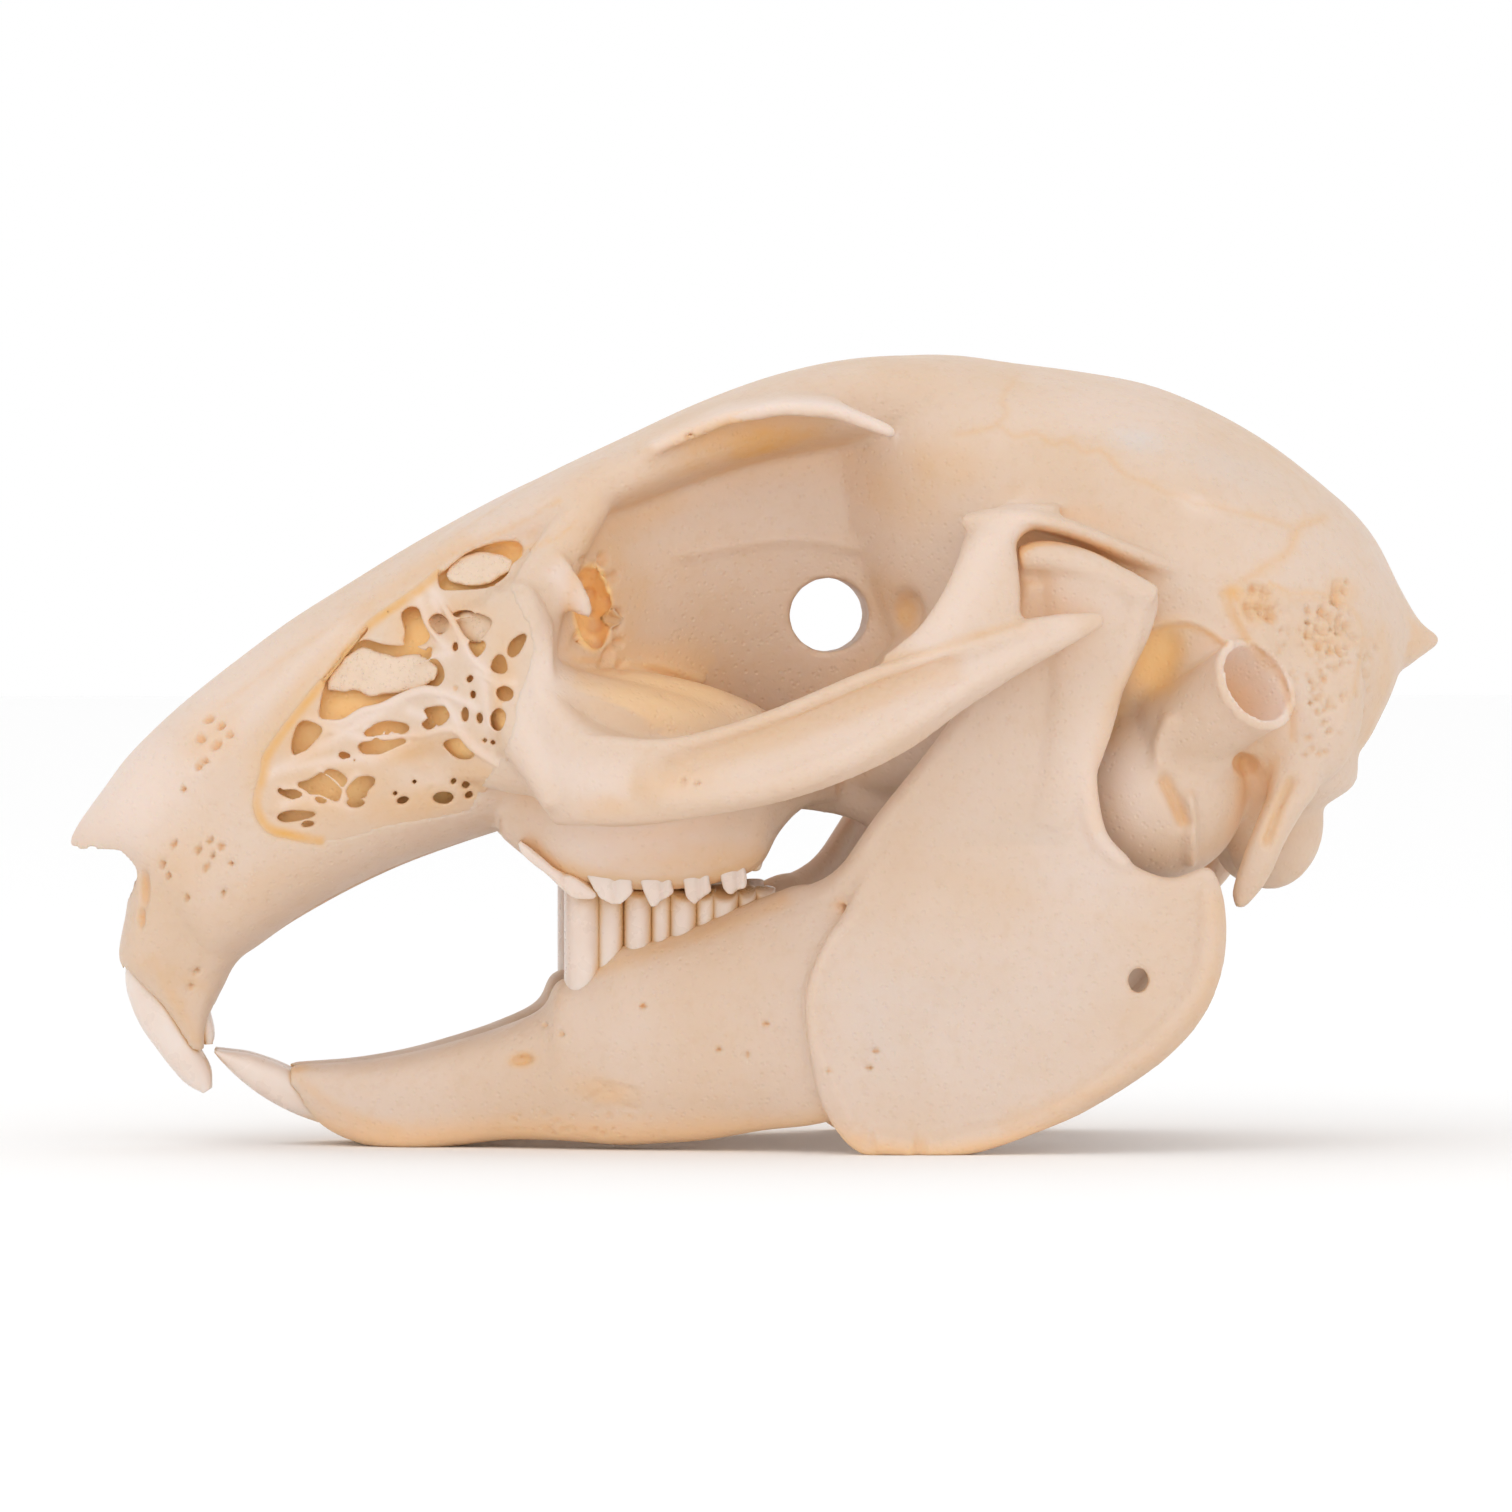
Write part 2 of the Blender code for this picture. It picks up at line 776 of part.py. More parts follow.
def build_cranium(parts, cutters):
    middle = [
        snout,
        premaxilla,
        forehead,
        orbit_wall,
        braincase,
        occipital_shield,
        skull_base,
        occiput,
        palate,
    ]
    paired = [
        tooth_bearing_maxilla,
        cheek_root,
        orbit_floor,
        cheek_slope,
        orbit_front_rim,
        lacrimal_spine,
        arch,
        squamosal_process,
        squamosal_shelf,
        brow,
        bulla,
        ear_swelling,
        mastoid,
        ear_tube,
        paroccipital_process,
        condyle_of_occiput,
        pterygoid_plate,
        orbit_back,
    ]
    left = [shape() for shape in paired] + arch_rims()
    shapes = [shape() for shape in middle] + left + [mirrored(shape) for shape in left]
    cranium = join("cranium", shapes, parts, BONE)
    grow_together(cranium, CRANIUM_FACES)
    for hollow in (nose_hollow, brain_hollow, spinal_hole, eye_hole, throat):
        cut(cranium, join(hollow.__name__, [hollow()], cutters, BONE))
    for hollow in (palate_slot, ear_hole, upper_tooth_groove):
        cut(cranium, join(hollow.__name__, [hollow(), mirrored(hollow())], cutters, BONE))
    for hollow in (upper_incisor_socket, peg_incisor_socket):
        cut(cranium, join(hollow.__name__, [hollow()], cutters, BONE), solver="MANIFOLD")
    return cranium


# Lower jaw


def jaw_body():
    return loft_x(
        [
            (-24.6, 3.0, 4.1, 0.9, 0.0, 5.5),
            (-23.0, 1.25, 4.2, 1.5, 0.0, 5.3),
            (-21.0, 0.25, 4.35, 1.95, 0.0, 5.0),
            (-18.5, -0.2, 4.75, 2.3, 0.0, 4.55),
            (-16.0, 0.1, 5.4, 2.4, 0.0, 4.2),
            (-13.5, 0.45, 6.2, 2.5, 0.0, 3.5),
            (-11.4, 0.5, 7.05, 2.6, 0.0, 2.6),
            (-10.4, 0.5, 8.0, 2.7, 0.0, 2.1),
            (-8.0, 0.3, 9.6, 2.8, 0.0, 1.3),
            (-5.5, 0.4, 10.5, 2.8, 0.0, 0.7),
            (-3.0, 0.6, 11.4, 2.8, 0.0, 0.1),
            (0.0, 1.15, 13.0, 2.5, 0.0, -0.9),
            (2.5, 1.5, 13.8, 2.0, 0.0, -2.4),
            (5.0, 2.2, 12.0, 1.4, 0.0, -3.8),
        ],
        y=-7.1,
        squareness=2.6,
    )


RAMUS_OUTLINE = [
    (2.2, 9.0), (2.2, 6.0), (2.6, 3.2), (3.6, 1.2), (4.9, 0.0), (6.6, -0.4), (8.8, -0.4), (11.0, 0.15),
    (13.5, 0.95), (16.5, 2.2), (20.2, 4.55), (22.4, 6.8), (23.5, 9.2), (23.8, 11.4), (23.6, 13.5),
    (22.9, 14.9), (22.0, 14.6), (20.9, 14.3), (19.6, 14.65), (18.2, 15.5), (17.3, 16.8), (17.0, 18.8),
    (17.2, 21.0), (17.8, 23.2), (18.9, 25.1), (19.8, 27.0), (20.1, 29.0), (18.3, 30.2), (16.0, 31.0),
    (13.6, 31.3), (12.8, 30.2), (12.8, 28.6), (11.8, 26.0), (9.6, 22.0), (7.3, 18.2), (5.4, 15.4),
    (4.2, 13.0),
]


def ramus_bend(x, z):
    """The plate leans out towards the jaw joint."""
    return -12.0 - 0.08 * np.clip(z - 16, 0, None)


def ramus():
    return plate(RAMUS_OUTLINE, 0.5, ramus_bend)


def ramus_rim():
    """The thickened border round the back of the jaw plate."""
    return sweep(
        [
            (5.5, -12.1, 0.8, 0.9, 0.7),
            (9.0, -12.1, 0.5, 0.9, 0.8),
            (14.0, -12.1, 1.9, 0.9, 0.7),
            (19.0, -12.1, 4.9, 0.9, 0.8),
            (22.2, -12.0, 8.4, 1.0, 0.8),
            (22.9, -12.0, 11.5, 1.0, 0.8),
            (22.7, -12.0, 13.9, 0.8, 0.6),
        ],
        up=(1, 0, 0),
    )


def ramus_back_edge():
    return sweep(
        [
            (19.5, -12.3, 15.2, 0.8, 0.6),
            (17.9, -12.4, 17.2, 0.85, 0.7),
            (17.6, -12.6, 20.0, 0.9, 0.7),
            (18.2, -12.8, 22.6, 0.9, 0.7),
            (19.2, -13.1, 25.4, 0.9, 0.7),
            (19.2, -13.2, 28.6, 0.9, 0.8),
        ],
        up=(1, 0, 0),
    )


def jaw_joint_head():
    return sweep(
        [
            (12.9, -13.6, 30.7, 0.9, 0.7),
            (14.2, -13.6, 30.9, 1.2, 0.85),
            (16.2, -13.5, 30.4, 1.2, 0.9),
            (18.2, -13.3, 29.5, 1.0, 0.8),
            (19.9, -13.2, 28.7, 0.8, 0.7),
        ],
    )


def ramus_front_edge():
    return sweep(
        [
            (1.0, -8.6, 12.0, 1.3, 1.0),
            (4.0, -10.9, 13.9, 1.0, 0.8),
            (6.15, -11.7, 17.2, 0.95, 0.6),
            (9.8, -12.1, 21.9, 0.9, 0.6),
            (12.4, -12.5, 26.4, 0.9, 0.6),
            (13.6, -13.0, 29.6, 1.0, 0.7),
        ],
        up=(1, 0, 0),
    )


def ramus_pillar():
    """The thick middle of the plate below the joint, which fades out downwards."""
    return sweep(
        [
            (16.4, -13.3, 30.0, 1.1, 2.4),
            (16.6, -13.0, 26.5, 1.0, 2.2),
            (16.0, -12.6, 22.0, 0.9, 1.8),
            (14.6, -12.2, 17.0, 0.6, 1.2),
        ],
        up=(1, 0, 0),
    )


def build_mandible(side, parts, cutters):
    shapes = [
        jaw_body(),
        ramus(),
        ramus_rim(),
        ramus_back_edge(),
        ramus_front_edge(),
        ramus_pillar(),
        jaw_joint_head(),
    ]
    mandible = join(f"mandible_{side}", on_side(side, shapes), parts, BONE)
    grow_together(mandible, MANDIBLE_FACES, rounds=3)
    for hollow in (lower_tooth_groove, lower_incisor_socket, angle_hole, ground):
        cut(mandible, join(f"{hollow.__name__}_{side}", on_side(side, [hollow()]), cutters, BONE))
    return mandible


# Teeth. Those of a row are listed from the front, on the left side.

UPPER_ROW = [  # x, y, length, width, crown z at its outer edge
    (-10.45, -5.9, 1.3, 2.6, 13.6),
    (-8.55, -6.45, 2.05, 3.5, 12.75),
    (-6.25, -6.65, 2.05, 3.7, 12.65),
    (-4.05, -6.75, 1.85, 3.7, 12.75),
    (-2.05, -6.75, 1.65, 3.4, 13.1),
    (-0.65, -6.5, 0.7, 1.9, 14.1),
]
LOWER_ROW = [
    (-8.8, -5.75, 2.35, 2.9, 12.5),
    (-6.2, -6.0, 2.3, 3.1, 12.5),
    (-3.95, -6.25, 2.0, 3.1, 12.7),
    (-1.9, -6.4, 1.75, 2.9, 13.0),
    (-0.3, -6.5, 0.95, 1.9, 13.6),
]
BITE_SLOPE = 0.42
UPPER_ROOT_Z = 16.4
LOWER_ROOT_RISE = 0.32
GROOVE_DEPTH = 0.3  # from the root of a cheek tooth to the floor of its groove


def cheek_tooth(x, y, length, width, crown, root, sides=10):
    """A column with two lobes, from its root level to its biting face, which slopes across the jaw."""
    angles = np.arange(sides) * math.tau / sides
    along = np.cos(angles) * length / 2
    pinch = 1 - 0.2 * np.exp(-((np.cos(angles) / 0.3) ** 2))
    across = np.sign(np.sin(angles)) * abs(np.sin(angles)) ** 0.7 * pinch * width / 2
    bite = crown + BITE_SLOPE * (across + width / 2)
    flat = np.full(sides, root)
    return skin([np.stack([x + along, y + across, z], axis=1) for z in (flat, bite)])


def lower_root(x):
    """The height of the floor of the groove that holds the lower teeth, which rises backwards."""
    return 7.2 + LOWER_ROOT_RISE * (x + 10)


def upper_tooth_groove():
    return loft_x(
        [
            (-11.6, 12.0, UPPER_ROOT_Z + GROOVE_DEPTH, 1.7, 0.0, 0.6),
            (-9.8, 12.0, UPPER_ROOT_Z + GROOVE_DEPTH, 2.1, 0.0, 0.1),
            (-7.0, 12.0, UPPER_ROOT_Z + GROOVE_DEPTH, 2.15, 0.0, -0.15),
            (-3.5, 12.0, UPPER_ROOT_Z + GROOVE_DEPTH, 2.1, 0.0, -0.2),
            (0.0, 12.0, UPPER_ROOT_Z + GROOVE_DEPTH, 1.6, 0.0, 0.0),
        ],
        y=-6.5,
        squareness=6,
        sides=12,
        steps=1,
    )


def lower_tooth_groove():
    stations = []
    for x, y, half in ((-10.35, -5.7, 1.6), (-8.0, -5.8, 1.8), (-4.0, -6.2, 1.85), (0.4, -6.45, 1.3)):
        stations.append((x, lower_root(x) - GROOVE_DEPTH, 16.0, half, 0.0, y))
    return loft_x(stations, squareness=6, sides=12, steps=1)


UPPER_INCISOR = [  # x, y, z, half width, half thickness
    (-31.4, -1.35, 11.5, 0.95, 0.8),
    (-31.9, -1.35, 10.3, 1.05, 0.95),
    (-32.1, -1.35, 8.7, 1.1, 1.05),
    (-31.5, -1.35, 7.0, 1.1, 1.1),
    (-30.6, -1.35, 5.5, 1.1, 1.0),
    (-29.95, -1.35, 4.5, 1.1, 0.9),
    (-29.3, -1.35, 3.6, 1.05, 0.75),
    (-28.85, -1.35, 2.9, 0.9, 0.3),
]
PEG_INCISOR = [
    (-29.65, -1.25, 9.0, 0.5, 0.4),
    (-29.2, -1.25, 7.2, 0.6, 0.42),
    (-28.85, -1.25, 5.9, 0.6, 0.38),
    (-28.8, -1.25, 5.3, 0.5, 0.22),
]
LOWER_INCISOR = [
    (-19.5, -1.35, 2.2, 0.95, 0.8),
    (-21.5, -1.35, 1.85, 1.05, 0.95),
    (-23.5, -1.35, 2.4, 1.1, 1.0),
    (-25.3, -1.35, 3.3, 1.1, 1.0),
    (-26.8, -1.35, 4.1, 1.05, 0.75),
    (-27.9, -1.35, 4.65, 0.95, 0.35),
    (-28.45, -1.35, 4.95, 0.8, 0.1),
]


def incisor(path, squareness=2.8, sides=8):
    return sweep(path, up=(-1, 0, 1), squareness=squareness, sides=sides, steps=1)


def hollow_round(rows):
    """The rows of a front tooth, made larger by the gap that its socket leaves."""
    gap = TOOTH_GAP * 1000
    return [(x, y, z, wide + gap, thick + gap) for x, y, z, wide, thick in rows]


def shared_socket(rows):
    """One hollow for the roots of a pair of upper front teeth, across the middle of the skull."""
    rows = [(x, 0, z, abs(y) + wide, thick) for x, y, z, wide, thick in hollow_round(rows)]
    return incisor(rows, squareness=4, sides=12)


def upper_incisor_socket():
    above = (-31.2, -1.35, 12.0, 0.9, 0.7)
    return shared_socket([above, *UPPER_INCISOR])


def peg_incisor_socket():
    above, below = (-29.85, -1.25, 9.7, 0.45, 0.35), (-28.8, -1.25, 4.0, 0.5, 0.22)
    return shared_socket([above, *PEG_INCISOR, below])


def lower_incisor_socket():
    behind = (-18.6, -1.35, 2.4, 0.9, 0.7)
    return incisor(hollow_round([behind, *LOWER_INCISOR[:5]]), sides=12)


def angle_hole():
    """The small hole through the plate near the angle of the jaw."""
    return sweep(
        [(19.2, -14.5, 9.0, 0.55, 0.68), (19.2, -9.5, 9.0, 0.55, 0.68)],
        squareness=2.0,
        sides=10,
        steps=1,
    )


def ground():
    """Everything below the surface that the jaw rests on."""
    return skin([[(x, y, z) for x, y in ((-40, -30), (40, -30), (40, 30), (-40, 30))] for z in (-8, 0)])


def on_side(side, shapes):
    return shapes if SIDES[side] == LEFT else [mirrored(shape) for shape in shapes]


def build_teeth(side, parts):
    fronts = {"upper_incisor": UPPER_INCISOR, "peg_incisor": PEG_INCISOR, "lower_incisor": LOWER_INCISOR}
    for name, path in fronts.items():
        join(f"{name}_{side}", on_side(side, [incisor(path)]), parts, TOOTH)
    for number, (x, y, length, width, crown) in enumerate(UPPER_ROW, 1):
        column = cheek_tooth(x, y, length, width, crown, UPPER_ROOT_Z)
        join(f"upper_cheek_tooth_{number}_{side}", on_side(side, [column]), parts, TOOTH)
    for number, (x, y, length, width, crown) in enumerate(LOWER_ROW, 1):
        column = cheek_tooth(x, y, length, width, crown, lower_root(x))
        join(f"lower_cheek_tooth_{number}_{side}", on_side(side, [column]), parts, TOOTH)


def main():
    clear_scene()
    parts = new_collection("cottontail_rabbit_skull")
    cutters = new_collection("cutters")
    build_cranium(parts, cutters)
    for side in SIDES:
        build_mandible(side, parts, cutters)
        build_teeth(side, parts)


main()
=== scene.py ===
"""Looks of the cottontail rabbit skull: fine bones, lace-like snout walls, teeth, finishes, light and camera.

Tables are in millimetres in the frame's own axes: +X runs from the nose to the back of the head, +Z is
up, and -Y is the animal's left side, which faces the camera. Shapes of the left side are mirrored.
"""

import math

import bmesh
import bpy
import numpy as np
from mathutils import Matrix, Vector
from mathutils.bvhtree import BVHTree


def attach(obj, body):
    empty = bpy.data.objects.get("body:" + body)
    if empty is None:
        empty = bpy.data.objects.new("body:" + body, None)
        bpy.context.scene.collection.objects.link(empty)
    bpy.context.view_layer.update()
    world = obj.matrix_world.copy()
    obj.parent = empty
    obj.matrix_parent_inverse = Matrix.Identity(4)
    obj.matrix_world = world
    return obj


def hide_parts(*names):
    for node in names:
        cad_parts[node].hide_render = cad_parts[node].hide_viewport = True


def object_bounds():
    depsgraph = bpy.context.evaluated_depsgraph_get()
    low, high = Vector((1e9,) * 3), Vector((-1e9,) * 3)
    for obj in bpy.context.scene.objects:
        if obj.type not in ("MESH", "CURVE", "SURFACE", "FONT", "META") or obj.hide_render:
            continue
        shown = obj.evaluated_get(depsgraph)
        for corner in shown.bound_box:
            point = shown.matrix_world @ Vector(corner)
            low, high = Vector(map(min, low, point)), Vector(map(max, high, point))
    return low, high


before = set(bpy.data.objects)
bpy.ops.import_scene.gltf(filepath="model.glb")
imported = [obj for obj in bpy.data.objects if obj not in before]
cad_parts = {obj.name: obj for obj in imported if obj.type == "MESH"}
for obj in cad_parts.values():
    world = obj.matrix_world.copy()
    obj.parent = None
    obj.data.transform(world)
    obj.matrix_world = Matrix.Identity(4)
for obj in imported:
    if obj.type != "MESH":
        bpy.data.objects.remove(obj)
CAD_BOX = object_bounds()

# The tables draw a skull of this length, and the frame gives its real length.
DRAWN_LENGTH = 71.7
UNIT = (CAD_BOX[1][0] - CAD_BOX[0][0]) / DRAWN_LENGTH

# Working sizes, in millimetres
CRANIUM_VOXEL = 0.19
MANDIBLE_VOXEL = 0.17
PLATE_VOXEL = 0.3
THIN_PLATE_VOXEL = 0.2
TOOTH_VOXEL = 0.13
LACE_VOXEL = 0.1
LACE_PLATE_VOXEL = 0.14
SWELL = 0.1  # added all round, which the smoothing takes off again
TOOTH_GAP = 0.12  # round a tooth in its socket

CRANIUM_TRIANGLES = 190000
MANDIBLE_TRIANGLES = 90000
LACE_TRIANGLES = 90000

LEFT, RIGHT = -1, 1
SIDES = {"left": LEFT, "right": RIGHT}


# Shapes. Each function gives a mesh as (points, faces).


def spline(rows, steps, closed=False):
    """Rows resampled along a Catmull-Rom curve that passes through each of them."""
    rows = np.array(rows, float)
    count = len(rows)
    last = count if closed else count - 1
    found = []
    for i in range(last):
        if closed:
            before, here, there, after = (rows[(i + k) % count] for k in (-1, 0, 1, 2))
        else:
            here, there = rows[i], rows[i + 1]
            before = rows[i - 1] if i > 0 else 2 * here - there
            after = rows[i + 2] if i + 2 < count else 2 * there - here
        for step in range(steps):
            t = step / steps
            found.append(
                here
                + 0.5 * t * (there - before)
                + t**2 * (before - 2.5 * here + 2 * there - 0.5 * after)
                + t**3 * (1.5 * (here - there) + 0.5 * (after - before))
            )
    if not closed:
        found.append(rows[-1])
    return np.array(found)


def unit_ring(squareness, sides):
    """A superellipse of half-sizes 1: squareness 2 is an ellipse, and more is squarer."""
    angles = np.arange(sides) * math.tau / sides
    wide, high = np.cos(angles), np.sin(angles)
    power = 2 / squareness
    return np.sign(wide) * abs(wide) ** power, np.sign(high) * abs(high) ** power


def skin(rings):
    """A closed surface through rings of points, with its two ends capped."""
    rings = np.array(rings)
    count, sides = rings.shape[:2]
    faces = []
    for i in range(count - 1):
        for j in range(sides):
            k = (j + 1) % sides
            faces.append((i * sides + j, i * sides + k, (i + 1) * sides + k, (i + 1) * sides + j))
    faces.append(tuple(range(sides))[::-1])
    faces.append(tuple((count - 1) * sides + j for j in range(sides)))
    return rings.reshape(-1, 3), faces


def loft_x(stations, y=0.0, squareness=2.3, sides=40, steps=5):
    """Upright sections across X: (x, low z, high z, half width, flare, y shift). Missing values are 0."""
    stations = [tuple(s) + (0.0,) * (6 - len(s)) for s in stations]
    wide, high = unit_ring(squareness, sides)
    rings = []
    for x, low, top, half, flare, shift in spline(stations, steps):
        across = (half + SWELL) * wide * (1 + flare * high)
        up = (top + low) / 2 + ((top - low) / 2 + SWELL) * high
        rings.append(np.stack([np.full(sides, x), y + shift + across, up], axis=1))
    return skin(rings)


def loft_z(stations, y=0.0, squareness=2.3, sides=40, steps=5):
    """Level sections stacked along Z: (z, front x, back x, half width, y shift). A missing shift is 0."""
    stations = [tuple(s) + (0.0,) * (5 - len(s)) for s in stations]
    wide, long = unit_ring(squareness, sides)
    rings = []
    for z, front, back, half, shift in spline(stations, steps):
        along = (front + back) / 2 + ((back - front) / 2 + SWELL) * long
        rings.append(np.stack([along, y + shift + (half + SWELL) * wide, np.full(sides, z)], axis=1))
    return skin(rings)


def sweep(path, up=(0, 0, 1), squareness=2.2, sides=24, steps=5):
    """A bar along a path. A point is (x, y, z, half thickness, half height), its height towards up."""
    rows = spline(path, steps)
    centres = rows[:, :3]
    ways = np.gradient(centres, axis=0)
    wide, high = unit_ring(squareness, sides)
    rings = []
    for centre, way, (half, tall) in zip(centres, ways, rows[:, 3:5]):
        way = Vector(way).normalized()
        side = way.cross(Vector(up)).normalized()
        top = side.cross(way)
        rings.append(centre + np.outer(wide * half, side) + np.outer(high * tall, top))
    return skin(rings)


def blob(centre, radii, lean=0.0, turn=0.0):
    """An ellipsoid, leaned in side view by lean degrees and turned about Z by turn degrees."""
    ball = bmesh.new()
    place = Matrix.Translation(centre) @ Matrix.Rotation(math.radians(turn), 4, "Z")
    place = place @ Matrix.Rotation(math.radians(lean), 4, "Y") @ Matrix.Diagonal((*radii, 1))
    bmesh.ops.create_uvsphere(ball, u_segments=40, v_segments=24, radius=1, matrix=place)
    ball.verts.index_update()
    points = np.array([v.co[:] for v in ball.verts])
    faces = [tuple(v.index for v in face.verts) for face in ball.faces]
    ball.free()
    return points, faces


def plate(outline, half_thickness, bend, smooth=4, voxel=PLATE_VOXEL, holes=()):
    """A flat outline in X and Z, less its holes, thickened, remeshed and bent: y = bend(x, z)."""
    curve = bpy.data.curves.new("outline", "CURVE")
    curve.dimensions = "2D"
    curve.fill_mode = "BOTH"
    curve.extrude = half_thickness
    for points in [spline(outline, smooth, closed=True), *holes]:
        line = curve.splines.new("POLY")
        line.points.add(len(points) - 1)
        line.use_cyclic_u = True
        for point, (x, z) in zip(line.points, points):
            point.co = (x, z, 0, 1)
    flat = linked("flat", curve)
    solid = linked("plate", evaluated_mesh(flat))
    remesh(solid, voxel)
    mesh = evaluated_mesh(solid)
    x, z, y = read(mesh.vertices, "co", size=3).T
    corners = read(mesh.loops, "vertex_index", int)
    starts = read(mesh.polygons, "loop_start", int)
    faces = [tuple(face)[::-1] for face in np.split(corners, starts[1:])]
    for obj in (flat, solid):
        bpy.data.objects.remove(obj)
    bpy.data.meshes.remove(mesh)
    return np.stack([x, y + bend(x, z), z], axis=1), faces


def mirrored(shape):
    points, faces = shape
    return points * (1, -1, 1), [face[::-1] for face in faces]


def on_side(side, shapes):
    return shapes if SIDES[side] == LEFT else [mirrored(shape) for shape in shapes]


# Solids: temporary objects in millimetres, which become pieces in metres at the end


def linked(name, data):
    obj = bpy.data.objects.new(name, data)
    bpy.context.scene.collection.objects.link(obj)
    return obj


def evaluated_mesh(obj):
    """A new mesh of the object as its modifiers leave it."""
    graph = bpy.context.evaluated_depsgraph_get()
    return bpy.data.meshes.new_from_object(obj.evaluated_get(graph))


def read(items, attribute, kind=float, size=1):
    """One attribute of all the items as an array, in rows if its size is more than 1."""
    values = np.empty(len(items) * size, kind)
    items.foreach_get(attribute, values)
    return values.reshape(-1, size) if size > 1 else values


def points_and_normals(mesh):
    return read(mesh.vertices, "co", size=3), read(mesh.vertex_normals, "vector", size=3)


def solid_of(name, shapes):
    """One object of all the shapes, with its faces turned outwards."""
    points, faces, start = [], [], 0
    for shape_points, shape_faces in shapes:
        points.append(shape_points)
        faces += [tuple(index + start for index in face) for face in shape_faces]
        start += len(shape_points)
    mesh = bpy.data.meshes.new(name)
    mesh.from_pydata(np.concatenate(points).tolist(), [], faces)
    clean = bmesh.new()
    clean.from_mesh(mesh)
    bmesh.ops.recalc_face_normals(clean, faces=clean.faces)
    clean.to_mesh(mesh)
    clean.free()
    return linked(name, mesh)


def remesh(obj, voxel, rounds=0):
    """Adds modifiers that fuse the object's shapes into one surface and smooth it."""
    modifier = obj.modifiers.new("Fuse", "REMESH")
    modifier.mode = "VOXEL"
    modifier.voxel_size = voxel
    if rounds:
        smooth = obj.modifiers.new("Smooth", "SMOOTH")
        smooth.factor = 0.5
        smooth.iterations = rounds


def cut(obj, shapes):
    """Adds modifiers that take the shapes out of the object."""
    for i, shape in enumerate(shapes):
        difference = obj.modifiers.new(f"cut {i}", "BOOLEAN")
        difference.operation = "DIFFERENCE"
        difference.solver = "MANIFOLD"
        difference.object = solid_of("cutter", [shape])


def apply_modifiers(obj):
    """Gives the object the mesh that its modifiers leave, and removes them and their cutters."""
    mesh = evaluated_mesh(obj)
    cutters = [m.object for m in obj.modifiers if m.type == "BOOLEAN"]
    obj.modifiers.clear()
    old = obj.data
    obj.data = mesh
    bpy.data.meshes.remove(old)
    for cutter in cutters:
        bpy.data.objects.remove(cutter)


def thin_out(obj, triangles):
    """Fewer triangles where the surface is plain."""
    obj.data.calc_loop_triangles()
    ratio = triangles / len(obj.data.loop_triangles)
    if ratio < 1:
        obj.modifiers.new("Thin", "DECIMATE").ratio = ratio
        apply_modifiers(obj)


# Bent plates of the cranium

BROW_EDGE = [  # x, y, z along the free edge of the wing
    (-8.5, -6, 35.2), (-7.2, -7, 35.7), (-5, -8.3, 36.7), (-2, -9.3, 37.95), (1, -10.1, 38.5),
    (3.6, -10.5, 38.3), (5.3, -10.3, 37.7), (6.8, -9.8, 37.2),
]
BROW_INNER = [(6.6, -9.2), (5, -8.4), (4.2, -7.2), (4, -5), (-2, -4.5), (-6, -4.5)]
SPINE_OUTLINE = [
    (-12.2, 30.4), (-10.9, 31.2), (-10.2, 30.7), (-9.4, 29.5), (-8.9, 28.3), (-9.05, 27.6), (-9.7, 27.9),
    (-10.9, 28.2), (-12.2, 28.6),
]
LACRIMAL_HOLLOW = (-8.9, -6.8, 28.2)


def brow_height(x, y):
    """The height of the wing, which rises inwards from its free edge."""
    edge_x, edge_y, edge_z = zip(*BROW_EDGE)
    return np.interp(x, edge_x, edge_z) + 0.16 * (y - np.interp(x, edge_x, edge_y))


def brow():
    """The supraorbital process: a thin wing over the eye, with a free point at its rear."""
    outline = [(x, y) for x, y, _ in BROW_EDGE] + BROW_INNER
    points, faces = plate(outline, 0.38, brow_height, voxel=THIN_PLATE_VOXEL)
    return points[:, [0, 2, 1]], [face[::-1] for face in faces]


def lacrimal_spine():
    """A thin tongue that hangs over the hollow at the front of the orbit."""
    return plate(SPINE_OUTLINE, 0.32, lambda x, z: -8.9 - 0.35 * (x + 11.5), voxel=THIN_PLATE_VOXEL)


# Cranium. Each list holds shapes, and a comment names each of them.

